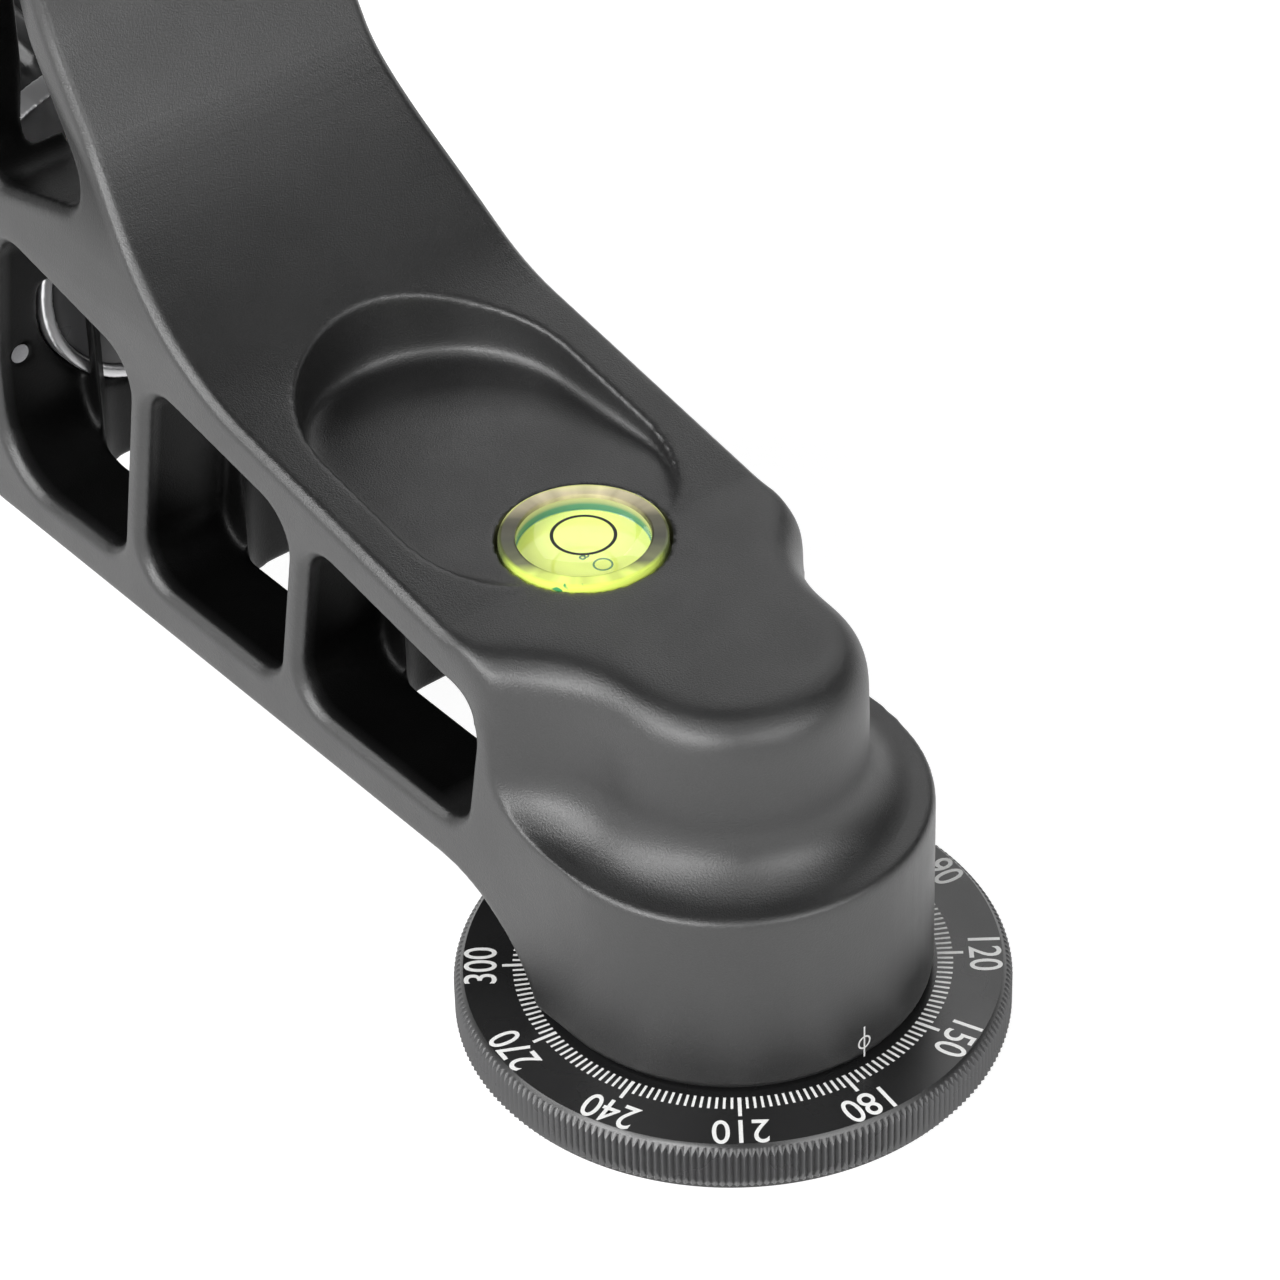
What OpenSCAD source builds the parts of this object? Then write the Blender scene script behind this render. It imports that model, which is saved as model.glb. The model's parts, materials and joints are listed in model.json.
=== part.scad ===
// Gimbal head: a graduated pan base, a windowed L-shaped arm, a tilting swing arm
// and a height-adjustable platform that carries a dovetail clamp.
// +Z is up, the pan axis is the Z axis, the arm reaches along +Y.

/* [Pan base] */
// Outer radius of the graduated base
base_r = 32; // [29:0.5:34]
// Height of the base, up to the dial face
base_h = 6.6; // [5.8:0.1:7.2]
// Height of the plain lip under the grip band
lip_h = 1.0; // [0.6:0.1:1.6]
// Height of the chamfer above the grip band
dial_chamfer_h = 1.25; // [0.8:0.05:1.8]
// Depth of the lip and of the chamfer
dial_chamfer_w = 0.8; // [0.5:0.1:1.2]
// Radius of the tripod thread
thread_r = 4.76; // [4:0.01:5.2]
// Length of the tripod thread
thread_len = 12; // [10:0.5:14]
// Wall of the thread insert
insert_wall = 2.24; // [1.6:0.02:2.3]

/* [Pan housing] */
// Radius of the pan housing and half the width of the arm
housing_r = 23; // [22.6:0.1:24]
// Running gap between the dial face and the housing
housing_gap = 0.65; // [0.4:0.05:1]
// Height of the rim of the housing
rim_z = 31.66; // [31:0.1:33]
// Radius of the nose above the rim
nose_r = 15.56; // [15.2:0.1:16.2]
// Radius of the hollow between rim and nose
cove_r = 6.8; // [5.6:0.1:7]
// Radius of the rounding round the plateau
top_fillet_r = 4.4; // [3:0.1:5]
// Height of the plateau
plateau_z = 52.43; // [51.8:0.1:54]
// Radius of the shoulder that runs from the nose to the sides
shoulder_r = 16; // [14:0.5:17]

/* [Arm] */
// Distance from the pan axis to the inner face of the upright
inner_y = 94; // [92:0.5:98]
// Thickness of the upright
upright_t = 26; // [25:0.5:28]
// Underside of the lower beam
under_z = 19.6; // [19:0.2:21]
// Radius of the hollow behind the pan housing
back_cove_r = 17.9; // [16.5:0.1:18.3]
// Where the hollow behind the housing meets the underside
back_cove_y = 24.5; // [24:0.5:26]
// Slope of the ramp and of everything parallel to it
ramp_angle = 10.3; // [9.6:0.1:11]
// Where the ramp starts
ramp_y = 22; // [21:0.5:24]
// Slope of the straight between the two bends
bend_angle = 60; // [56:1:63]
// Radius of the lower bend
lower_bend_r = 31; // [28:0.5:33]
// Radius of the upper bend
upper_bend_r = 30; // [27:0.5:32]
// Length of the straight between the bends
bend_straight = 19.8; // [16:0.2:22]
// Radius of the outer corner of the elbow
elbow_r = 6; // [3:0.5:9]
// Height of the tilt axis
tilt_z = 238; // [236:1:250]
// Half the width of the hollows in the arm
hollow_w = 11.1; // [10.5:0.1:12]
// Radius of the upright corners of the hollows
hollow_corner_r = 5.5; // [4:0.5:6]
// Thickness of the roof over the hollows
roof_t = 12; // [11:0.5:13]

/* [Windows] */
// Lower edge of the windows
window_z = 25.6; // [24.5:0.1:27]
// Distance from the ramp down to the windows, measured upright
window_drop = 6.5; // [5.5:0.1:7.5]
// Front edge of the first window
window_front_y = 19.6; // [19:0.2:22]
// Middle of the first strut
strut_a_y = 53.4; // [52:0.2:55]
// Middle of the second strut
strut_b_y = 85.05; // [84:0.1:86]
// Width of the struts
strut_w = 3.6; // [3:0.1:5]
// Corner radius of the windows
window_r = 5; // [3:0.5:6]
// Distance from the inner face of the upright to its window
upright_rim = 5.5; // [4.5:0.1:6.5]
// Top of the window above the elbow
upright_window_top = 124; // [120:1:126]
// Lower and upper end of the top window
top_window_z = 134; // [132:1:138]
// Height of the top window
top_window_h = 66; // [56:1:68]
// Half the width of the slot in the outer face
slot_w = 16.2; // [15.5:0.1:17]
// Depth of the slot in the outer face
slot_depth = 9.5; // [8:0.5:10]
// Height of the hole in the inner face
recess_z = 101; // [99:0.5:104]
// Radius of the hole in the inner face
recess_r = 9; // [7:0.5:10]

/* [Level] */
// Distance from the pan axis to the bullseye level
level_y = 25.3; // [24.5:0.1:26]
// Outer radius of the level
level_r = 10; // [9:0.5:10.5]
// Wall of the level's cup
level_wall = 2; // [1.5:0.1:2.5]
// Depth of the level's seat
level_depth = 6.8; // [6:0.1:7]
// Thickness of the level's lens
lens_t = 1.2; // [0.8:0.1:1.6]
// Half the width of the finger pocket behind the level
pocket_w = 17.3; // [16:0.1:18]
// Centre of the front end of the finger pocket
pocket_front_y = 36; // [35:0.5:38]
// Length between the two round ends of the finger pocket
pocket_len = 14; // [10:0.5:16]

/* [Bearings] */
// Bore radius of the large bearings
big_bore_r = 12.5; // [12:0.1:12.8]
// Outer radius of the large bearings
big_outer_r = 18.5; // [18.2:0.1:19]
// Width of the large bearings
big_width = 7; // [6:0.5:8]
// Ball radius of the large bearings
big_ball_r = 1.9; // [1.6:0.1:2]
// Bore radius of the small bearing
small_bore_r = 7.5; // [7.2:0.1:7.8]
// Outer radius of the small bearing
small_outer_r = 12; // [11.8:0.1:12.2]
// Width of the small bearing
small_width = 5; // [4:0.5:5.5]
// Ball radius of the small bearing
small_ball_r = 1.4; // [1.2:0.1:1.5]
// Balls in each bearing
ball_count = 12; // [8:1:14]

/* [Pan spindle and brake] */
// Radius of the brake drum on the spindle
drum_r = 14; // [13.4:0.1:14.4]
// Length of the brake drum
drum_len = 15; // [13.5:0.5:15]
// Radius of the brake shoe
shoe_r = 4.2; // [3.6:0.1:4.6]
// Length of the brake shoe from the drum's axis to its back
shoe_back = 28; // [26:0.5:30]
// Gap between shoe and drum when the brake is off
shoe_gap = 0.85; // [0.8:0.05:1]
// Radius of the lock rods and screws
rod_r = 3; // [2.6:0.1:3.2]
// Height of the pan lock rod where its line meets the pan axis
rod_z = 26.3; // [26:0.1:27]
// Radius of the pan lock knob
pan_knob_r = 17; // [14:0.5:19]
// Length of the pan lock knob
pan_knob_len = 22; // [18:1:26]

/* [Elbow bush] */
// Height of the elbow bush
bush_z = 46.5; // [46:0.1:47]
// Radius of the bush in the slot
bush_r = 16; // [15.2:0.1:16.1]
// Width of the bright ring of the bush
bush_ring_w = 1.6; // [1.2:0.1:2.2]
// Depth of the recess in the bush
bush_recess = 2.5; // [2:0.1:3]
// Radius of the flange outside the arm
flange_r = 22.8; // [21.4:0.1:22.8]
// Thickness of the flange
flange_t = 4; // [3.5:0.5:5]
// Radius of the tilted boss that the knob runs on
boss_r = 12; // [10:0.5:13]

/* [Tilt] */
// Radius of the tilt lock knob
tilt_knob_r = 24; // [20:0.5:27]
// Length of the tilt lock knob
tilt_knob_len = 20; // [17:1:24]
// Thickness of the swing arm
swing_t = 10; // [9:0.5:10.5]
// Gap between the swing arm and the upright
swing_gap = 2; // [1.5:0.1:3]
// Radius of the swing arm's hub
hub_r = 22; // [20:0.5:23]
// Length of the rail below the tilt axis
rail_len = 124; // [116:1:124]
// Half the width of the dovetail rail
rail_w = 19; // [18:0.2:20]
// Depth of the dovetail's sides
dovetail_d = 3; // [2.5:0.1:3.2]
// Height of the flat edge of the dovetail
dovetail_edge = 1.2; // [1:0.1:1.6]

/* [Platform] */
// Distance from the tilt axis down to the platform's top
platform_drop = 32; // [31:0.5:36]
// Thickness of the platform
platform_t = 10; // [9:0.5:12]
// Half the width of the platform
platform_w = 20; // [18:0.5:22]
// Reach of the platform past the pan axis
platform_front = 27.6; // [26.8:0.2:28]
// Half the width of the carriage
carriage_w = 27; // [26:0.5:28]
// Height of the carriage below the platform's top
carriage_down = 36; // [34:1:38]
// Height of the carriage above the platform's top
carriage_up = 7; // [4:0.5:7]
// Thickness of the carriage in front of the rail
carriage_t = 9; // [8:0.5:10]
// Radius of the height lock knob
height_knob_r = 13; // [11:0.5:15]
// Length of the height lock knob
height_knob_len = 15; // [12:1:18]
// Gap between the gib and the rail when unlocked
gib_gap = 0.85; // [0.8:0.05:1]

/* [Clamp] */
// Half the length of the clamp
clamp_len = 30; // [28:0.5:34]
// Half the width of the dovetail plate that the clamp takes
plate_w = 19; // [18.5:0.1:19.5]
// Thickness of the clamp's floor
clamp_floor = 7; // [6.4:0.2:8]
// Height of the jaws above the floor
jaw_h = 6; // [5.5:0.1:7]
// How far the jaws reach over the plate
jaw_lip = 2.5; // [2:0.1:3]
// Height of the upright part of the jaw's inner face
jaw_foot = 1.5; // [1:0.1:2]
// Outside width of each jaw
jaw_t = 8; // [7:0.5:9]
// Radius of the clamp knob
clamp_knob_r = 12; // [10:0.5:13]
// Length of the clamp knob
clamp_knob_len = 15; // [12:1:18]
// Radius of the guide pins
pin_r = 2; // [1.6:0.1:2.2]
// Distance of the guide pins from the middle
pin_x = 21; // [20:0.5:23]

/* [Fits] */
// Clearance of a seat within one assembly
seat_fit = 0.01; // [0.01:0.01:0.02]
// Radial clearance of a running fit
run_fit = 0.05; // [0.03:0.01:0.1]
// Gap between faces that move past each other
face_gap = 0.3; // [0.25:0.05:0.4]

/* [Hidden] */
$fn = 96;
far = 60;
eps = 0.5;

black = [0.10, 0.10, 0.11];
dial_black = [0.06, 0.06, 0.07];
steel = [0.62, 0.63, 0.65];
silver = [0.78, 0.78, 0.79];
brass = [0.75, 0.60, 0.30];
rubber = [0.05, 0.05, 0.05];
fluid = [0.70, 0.85, 0.15];
clear = [0.85, 0.92, 0.92];

// Pan stack, from the dial face up
housing_z = base_h + housing_gap;
insert_r = thread_r + insert_wall;
insert_play = 0.2;
hub_h = 3.4;
race_z = base_h + hub_h;
race_top = race_z + big_width;
shoulder_w = 2;
drum_top = race_top + drum_len;
cavity_r = big_outer_r - shoulder_w;
cavity_top = drum_top + 0.4;
small_z = drum_top + 3.5;
small_top = small_z + small_width;
nut_h = 4;
nut_r = small_bore_r + 1.8;
nose_room_r = small_outer_r - 1.5;
nose_room_top = small_top + nut_h + 2;
retainer_r = big_outer_r + 0.7;
seal_r = retainer_r + 1.2;
seal_w = 1.6;
seal_h = 1.6;

// Screws that hold the base to the spindle
base_screw_r = 1.5;
base_screw_head_r = 2.7;
base_screw_head_h = 1.6;
base_screw_len = 18;
base_screw_gap = 0.6;
base_screw_ring = insert_r + base_screw_head_r + base_screw_gap;

// Side outline of the arm
outer_y = inner_y + upright_t;
ramp_slope = tan(ramp_angle);
function ramp_height(y) = plateau_z + ramp_slope * (y - ramp_y);
upper_bend_y = inner_y - upper_bend_r;
straight_end_y = upper_bend_y + upper_bend_r * sin(bend_angle);
straight_start_y = straight_end_y - bend_straight * cos(bend_angle);
lower_bend_y = straight_start_y - lower_bend_r * sin(bend_angle);
lower_tangent_y = lower_bend_y + lower_bend_r * sin(ramp_angle);
lower_bend_z = ramp_height(lower_tangent_y) + lower_bend_r * cos(ramp_angle);
straight_start_z = lower_bend_z - lower_bend_r * cos(bend_angle);
straight_end_z = straight_start_z + bend_straight * sin(bend_angle);
upper_bend_z = straight_end_z + upper_bend_r * cos(bend_angle);
slot_y = outer_y - slot_depth;
slot_top = upright_window_top - slot_w;
top_wall = 8;

// Screws that hold the elbow bush
bush_screw_r = 1.25;
bush_screw_head_r = 2.2;
bush_screw_head_h = 2;
bush_screw_len = 8;
bush_screw_inset = 0.6;
bush_screw_x = (slot_w + housing_r) / 2 - bush_screw_inset;
bush_screw_z = 6;

// Material kept between the finger pocket and the windows
pocket_wall = 1.2;
pocket_floor = 2;

// Pan lock line, parallel to the ramp
function along_rod(y) = y / cos(ramp_angle);
function rod_height(y) = rod_z + y * ramp_slope;
rod_play = 0.5;
shoe_back_s = along_rod(shoe_back);
boss_s = along_rod(outer_y + flange_t) + 3.6;
pan_knob_s = boss_s + face_gap;
cap_t = 1.6;
knob_screw_depth = 14;
hollow_front_y = shoe_back - 1;

// Tilt stack, along Y
swing_y = inner_y - swing_gap;
swing_front_y = swing_y - swing_t;
race_inset = 2;
tilt_race_y = inner_y + race_inset;
tilt_race_end = tilt_race_y + big_width;
tilt_outer_y = outer_y - race_inset - big_width;
tilt_outer_end = outer_y - race_inset;
axle_r = big_bore_r;
axle_collar_r = big_bore_r + 1.7;
axle_neck_r = 10;
axle_thread_r = 8;
washer_y = outer_y + face_gap;
washer_t = 2;
washer_r = 20;
tilt_knob_y = washer_y + washer_t + face_gap;
clip_t = 1.3;
clip_r = axle_thread_r + 1.5;
tilt_insert_len = tilt_knob_len - 3;
axle_end_y = tilt_knob_y + tilt_insert_len + face_gap + clip_t + 0.6;
tilt_insert_r = axle_thread_r + 4;
hub_screw_r = 2;
hub_screw_head_r = 3.5;
hub_screw_ring = 8.4;
hub_cap_r = 15;
hub_cap_t = 2.4;
stop_r = 2;

// Dovetail rail, carriage and height lock
rail_neck_w = rail_w - dovetail_d;
head_y = swing_front_y + dovetail_edge;
neck_y = head_y + dovetail_d;
neck_end_y = neck_y + 0.8;
rail_fit = 0.1;
platform_z = tilt_z - platform_drop;
carriage_top = platform_z + carriage_up;
carriage_bottom = platform_z - carriage_down;
carriage_y = swing_front_y - carriage_t;
lock_z = platform_z - platform_t - 13;
gib_t = 3.6;
gib_h = 9;
gib_d = 4.5;
gib_x = rail_w + gib_gap;
gib_y = swing_front_y + dovetail_edge - gib_d;
gib_mid_y = gib_y + gib_d / 2;
lock_boss_r = 8;
lock_boss_len = 5;
height_knob_x = carriage_w + lock_boss_len + face_gap;
brace_y = 28;
platform_window_y = 18;

// Clamp
channel_z = platform_z + clamp_floor;
jaw_top = channel_z + jaw_h;
plate_play = 0.2;
channel_w = plate_w + plate_play;
jaw_back = channel_w + jaw_t;
screw_z = platform_z + clamp_floor / 2;
floor_edge = channel_w - 2;
screw_reach = 12;
pin_reach = 12;
clamp_screw_x = 14;
clamp_screw_front_y = -9;
clamp_screw_back_y = 12;
clamp_screw_r = 2;
clamp_head_r = 3.6;
clamp_head_h = 4;
clamp_seat_z = platform_z - platform_t + clamp_head_h + 0.6;
knob_gap = 1.3;

// Points of an arc about c, from angle a to angle b
function arc(c, r, a, b, n = 12) =
    [for (i = [0:n]) let (t = a + (b - a) * i / n) [c[0] + r * cos(t), c[1] + r * sin(t)]];

// The shorter way round from one angle to the other
function turn(a, b) = let (d = b - a) d > 180 ? d - 360 : d < -180 ? d + 360 : d;

// Points that round the corner q between its neighbours p and s
function corner(p, q, s, r) =
    let (u = (p - q) / norm(p - q), v = (s - q) / norm(s - q),
        half = acos(u * v) / 2,
        c = q + (u + v) / norm(u + v) * r / sin(half),
        from = q + u * r / tan(half) - c, to = q + v * r / tan(half) - c,
        a = atan2(from[1], from[0]), b = atan2(to[1], to[0]))
    arc(c, r, a, a + turn(a, b), 8);

// A polygon's points with every corner rounded
function rounded(p, r) =
    let (n = len(p))
    [for (i = [0:n - 1]) each corner(p[(i + n - 1) % n], p[i], p[(i + 1) % n], r[i])];

// Extrudes a (Y, Z) outline along X, from one x to another
module side_extrude(from, to) {
    translate([from, 0, 0]) rotate([90, 0, 90]) linear_extrude(to - from) children();
}

// Places a part with its own Z along +Y
module along_y(y, z, x = 0) {
    translate([x, y, z]) rotate([-90, 0, 0]) children();
}

// Places a part with its own Z along +X
module along_x(x, y, z) {
    translate([x, y, z]) rotate([0, 90, 0]) children();
}

// Places a part with its own Z along the pan lock rod, away from the pan axis
module on_rod(s) {
    translate([0, 0, rod_z]) rotate([ramp_angle, 0, 0]) rotate([-90, 0, 0])
        translate([0, 0, s]) children();
}

module ring(inner, outer, h) {
    difference() {
        cylinder(r = outer, h = h);
        translate([0, 0, -eps]) cylinder(r = inner, h = h + 2 * eps);
    }
}

// A knob with round flutes and a chamfered front edge
module fluted_knob(r, h, flutes, flute_r) {
    chamfer = 1.2;
    difference() {
        rotate_extrude() polygon([[0, 0], [r - chamfer, 0], [r, chamfer], [r, h - chamfer],
            [r - chamfer, h], [0, h]]);
        for (i = [0:flutes - 1]) {
            rotate([0, 0, i * 360 / flutes]) translate([r + flute_r * 0.6, 0, -eps])
                cylinder(r = flute_r, h = h + 2 * eps, $fn = 32);
        }
    }
}

module cap_screw(r, length, head_r, head_h) {
    cylinder(r = r, h = length);
    translate([0, 0, -head_h]) difference() {
        cylinder(r = head_r, h = head_h);
        translate([0, 0, -eps]) cylinder(r = head_r * 0.5, h = head_h * 0.5 + eps, $fn = 6);
    }
}

// Bearing rings and balls
module inner_race(bore_r, outer_r, width, ball_r) {
    mid = (bore_r + outer_r) / 2;
    rotate_extrude() difference() {
        translate([bore_r + seat_fit, 0]) square([mid - ball_r / 2 - bore_r - seat_fit, width]);
        translate([mid, width / 2]) circle(r = ball_r + run_fit, $fn = 48);
    }
}

module outer_race(bore_r, outer_r, width, ball_r) {
    mid = (bore_r + outer_r) / 2;
    rotate_extrude() difference() {
        translate([mid + ball_r / 2, 0]) square([outer_r - seat_fit - mid - ball_r / 2, width]);
        translate([mid, width / 2]) circle(r = ball_r + run_fit, $fn = 48);
    }
}

module balls(bore_r, outer_r, width, ball_r) {
    mid = (bore_r + outer_r) / 2;
    for (i = [0:ball_count - 1]) {
        rotate([0, 0, i * 360 / ball_count]) translate([mid, 0, width / 2]) sphere(r = ball_r, $fn = 32);
    }
}

module pan_base() {
    color(dial_black) difference() {
        rotate_extrude() polygon([[0, 0], [base_r - dial_chamfer_w, 0], [base_r - dial_chamfer_w, lip_h],
            [base_r, lip_h], [base_r, base_h - dial_chamfer_h], [base_r - dial_chamfer_w, base_h],
            [drum_r, base_h], [drum_r, race_z], [0, race_z]]);
        translate([0, 0, -eps]) cylinder(r = insert_r + seat_fit, h = race_z + 2 * eps);
        base_screw_places() {
            translate([0, 0, -eps]) cylinder(r = base_screw_r + 0.1, h = race_z + 2 * eps);
            translate([0, 0, -eps]) cylinder(r = base_screw_head_r + 0.1, h = base_screw_head_h + eps);
        }
    }
}

module base_screw_places() {
    for (a = [45:90:315]) rotate([0, 0, a]) translate([base_screw_ring, 0, 0]) children();
}

module tripod_insert() {
    color(steel) ring(thread_r, insert_r, thread_len);
}

module base_screws() {
    color(steel) base_screw_places() translate([0, 0, base_screw_head_h])
        cap_screw(base_screw_r, base_screw_len, base_screw_head_r, base_screw_head_h - 0.2);
}

module pan_spindle() {
    color(steel) difference() {
        rotate_extrude() polygon([[0, race_z], [big_bore_r, race_z], [big_bore_r, race_top],
            [drum_r, race_top], [drum_r, drum_top], [small_bore_r + 1.2, drum_top],
            [small_bore_r + 1.2, small_z], [small_bore_r, small_z], [small_bore_r, small_top + nut_h + 0.6],
            [0, small_top + nut_h + 0.6]]);
        translate([0, 0, race_z - eps])
            cylinder(r = insert_r + seat_fit, h = thread_len - race_z + insert_play + eps);
        base_screw_places() cylinder(r = base_screw_r + seat_fit, h = base_screw_head_h + base_screw_len + 1);
    }
}

module spindle_nut() {
    color(steel) translate([0, 0, small_top]) difference() {
        ring(small_bore_r + seat_fit, nut_r, nut_h);
        for (a = [0:90:270]) rotate([0, 0, a]) translate([nut_r - 0.7, -1, nut_h - 1.5]) cube([2, 2, 3]);
    }
}

module pan_lower_inner_race() {
    color(steel) translate([0, 0, race_z]) inner_race(big_bore_r, big_outer_r, big_width, big_ball_r);
}

module pan_lower_outer_race() {
    color(steel) translate([0, 0, race_z]) outer_race(big_bore_r, big_outer_r, big_width, big_ball_r);
}

module pan_lower_balls() {
    color(silver) translate([0, 0, race_z]) balls(big_bore_r, big_outer_r, big_width, big_ball_r);
}

module pan_upper_inner_race() {
    color(steel) translate([0, 0, small_z])
        inner_race(small_bore_r, small_outer_r, small_width, small_ball_r);
}

module pan_upper_outer_race() {
    color(steel) translate([0, 0, small_z])
        outer_race(small_bore_r, small_outer_r, small_width, small_ball_r);
}

module pan_upper_balls() {
    color(silver) translate([0, 0, small_z]) balls(small_bore_r, small_outer_r, small_width, small_ball_r);
}

module bearing_retainer() {
    color(steel) translate([0, 0, housing_z + 0.3])
        ring(drum_r + 1.2, retainer_r - seat_fit, race_z - housing_z - 0.3);
}

module dust_seal() {
    color(rubber) translate([0, 0, base_h + face_gap])
        ring(seal_r + seat_fit, seal_r + seal_w - seat_fit, housing_gap - face_gap + seal_h);
}

// Wall, hollow and rounding from the rim up to the plateau, at distance w from an axis
module shoulder_cutter() {
    top = plateau_z + 3;
    polygon(concat([[0, top], [0, rim_z]],
        arc([shoulder_r - cove_r, rim_z + cove_r], cove_r, 270, 360, 10),
        arc([shoulder_r + top_fillet_r, plateau_z - top_fillet_r], top_fillet_r, 180, 90, 10),
        [[shoulder_r + top_fillet_r, top]]));
}

module shoulders() {
    for (side = [0, 1]) mirror([side, 0, 0]) translate([nose_r + shoulder_r, 0, 0]) {
        rotate_extrude() shoulder_cutter();
        rotate([0, 0, 135]) rotate([90, 0, 0]) linear_extrude(far) shoulder_cutter();
    }
}

module pan_housing() {
    rim_round = 0.6;
    rotate_extrude() polygon(concat([[0, housing_z], [housing_r, housing_z]],
        arc([housing_r - rim_round, rim_z - rim_round], rim_round, 0, 90, 4),
        arc([nose_r + cove_r, rim_z + cove_r], cove_r, 270, 180, 10),
        arc([nose_r - top_fillet_r, plateau_z - top_fillet_r], top_fillet_r, 0, 90, 10),
        [[0, plateau_z]]));
}

// Side outline of the arm, without the pan housing
module arm_outline() {
    cove_z = under_z - back_cove_r;
    cove_end = 180 - asin((housing_z - cove_z) / back_cove_r);
    polygon(concat([[0, housing_z]],
        arc([back_cove_y, cove_z], back_cove_r, cove_end, 90, 14),
        arc([outer_y - elbow_r, under_z + elbow_r], elbow_r, 270, 360, 8),
        [[outer_y, tilt_z], [inner_y, tilt_z]],
        arc([upper_bend_y, upper_bend_z], upper_bend_r, 0, bend_angle - 90, 10),
        arc([lower_bend_y, lower_bend_z], lower_bend_r, bend_angle - 90, ramp_angle - 90, 14),
        [[ramp_y, plateau_z], [0, plateau_z]]));
}

// A point of a window's edge that leans with the struts
function leaning(y, z) = [y - (z - window_z) * ramp_slope, z];

// The point where a leaning edge meets the windows' upper line
function under_ramp(y) =
    let (z = (ramp_height(y) - window_drop + ramp_slope * ramp_slope * window_z)
        / (1 + ramp_slope * ramp_slope))
    leaning(y, z);

module beam_window(front, back) {
    polygon(rounded([leaning(front, window_z), leaning(back, window_z), under_ramp(back), under_ramp(front)],
        [window_r, window_r, window_r, window_r]));
}

module elbow_window() {
    back = slot_y + 1.4;
    front = under_ramp(strut_b_y + strut_w / 2);
    polygon(rounded([leaning(strut_b_y + strut_w / 2, window_z), [back + 0.2, window_z - 0.8],
        [back, bush_z - 5.5], [back - 3.5, front[1] + (back - front[0]) * ramp_slope], front],
        [window_r, 9, 12, window_r, window_r]));
}

module upright_window() {
    back = slot_y + 1.3;
    rim_r = upper_bend_r + upright_rim;
    low_r = lower_bend_r + upright_rim;
    straight = [upper_bend_y + rim_r * sin(bend_angle), upper_bend_z - rim_r * cos(bend_angle)];
    low = straight - 18 * [cos(bend_angle), sin(bend_angle)];
    bend = arc([upper_bend_y, upper_bend_z], rim_r, bend_angle - 90, 0, 8);
    polygon(concat(
        corner(straight, low, [back, low[1] - 5.4], 4.5),
        corner(low, [back, low[1] - 5.4], [back, upright_window_top], window_r),
        corner([back, low[1]], [back, upright_window_top],
            [inner_y + upright_rim, upright_window_top], window_r),
        corner([back, upright_window_top], [inner_y + upright_rim, upright_window_top],
            [inner_y + upright_rim, upper_bend_z], window_r),
        [for (i = [8:-1:0]) bend[i]]));
}

// The windows on both sides, less the floor and walls of the finger pocket
module side_windows() {
    difference() {
        for (side = [0, 1]) mirror([side, 0, 0]) side_extrude(hollow_w - eps, housing_r + 1) {
            beam_window(window_front_y, strut_a_y - strut_w / 2);
            beam_window(strut_a_y + strut_w / 2, strut_b_y - strut_w / 2);
            elbow_window();
            upright_window();
        }
        pocket_form(pocket_w + pocket_wall, plateau_z - pocket_floor);
    }
}

// Space between two cross walls, from below up to the roof
module cell(front, back) {
    intersection() {
        translate([0, 0, -eps]) linear_extrude(far) polygon(rounded(
            [[-hollow_w, front], [hollow_w, front], [hollow_w, back], [-hollow_w, back]],
            [hollow_corner_r, hollow_corner_r, hollow_corner_r, hollow_corner_r]));
        side_extrude(-hollow_w - 1, hollow_w + 1) polygon([[front - 1, 0], [back + 1, 0],
            [back + 1, ramp_height(back + 1) - roof_t], [front - 1, ramp_height(front - 1) - roof_t]]);
    }
}

module hollows() {
    lean = 2.4;
    cell(hollow_front_y, strut_a_y - strut_w / 2 - lean);
    cell(strut_a_y + strut_w / 2, strut_b_y - strut_w / 2 - lean);
    cell(strut_b_y + strut_w / 2, slot_y + eps);
    side_extrude(-hollow_w, hollow_w) upright_window();
    side_extrude(-hollow_w, hollow_w) polygon([[inner_y + upright_rim, bush_z], [slot_y + eps, bush_z],
        [slot_y + eps, upright_window_top - 20], [inner_y + upright_rim, upright_window_top - 20]]);
}

module outer_slot() {
    along_y(slot_y, bush_z) cylinder(r = slot_w, h = slot_depth + 1);
    along_y(slot_y, slot_top) cylinder(r = slot_w, h = slot_depth + 1);
    translate([-slot_w, slot_y, bush_z]) cube([2 * slot_w, slot_depth + 1, slot_top - bush_z]);
}

module top_window() {
    side_extrude(-housing_r - 1, housing_r + 1) polygon(rounded(
        [[inner_y + upright_rim, top_window_z], [outer_y - top_wall, top_window_z],
        [outer_y - top_wall, top_window_z + top_window_h],
        [inner_y + upright_rim, top_window_z + top_window_h]], [window_r, window_r, window_r, window_r]));
}

module pan_bores() {
    translate([0, 0, housing_z - eps]) cylinder(r = retainer_r, h = race_z - housing_z + eps);
    translate([0, 0, housing_z - eps]) ring(seal_r, seal_r + seal_w, seal_h + eps);
    translate([0, 0, race_z - eps]) cylinder(r = big_outer_r, h = big_width + eps);
    translate([0, 0, race_z]) cylinder(r = cavity_r, h = cavity_top - race_z);
    translate([0, 0, race_z]) cylinder(r = small_outer_r, h = small_top - race_z);
    translate([0, 0, race_z]) cylinder(r = nose_room_r, h = nose_room_top - race_z);
}

module rod_bores() {
    shoe_bore_y = 5;
    on_rod(along_rod(shoe_bore_y))
        cylinder(r = shoe_r + run_fit, h = along_rod(hollow_front_y + 2) - along_rod(shoe_bore_y));
    on_rod(along_rod(hollow_front_y))
        cylinder(r = rod_r + rod_play, h = along_rod(slot_y) - along_rod(hollow_front_y));
}

module tilt_bores() {
    along_y(inner_y - eps, tilt_z) cylinder(r = big_outer_r, h = tilt_race_end - inner_y + eps);
    along_y(inner_y, tilt_z) cylinder(r = cavity_r, h = upright_t + 1);
    along_y(tilt_outer_y, tilt_z) cylinder(r = big_outer_r, h = outer_y - tilt_outer_y + eps);
}

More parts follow.
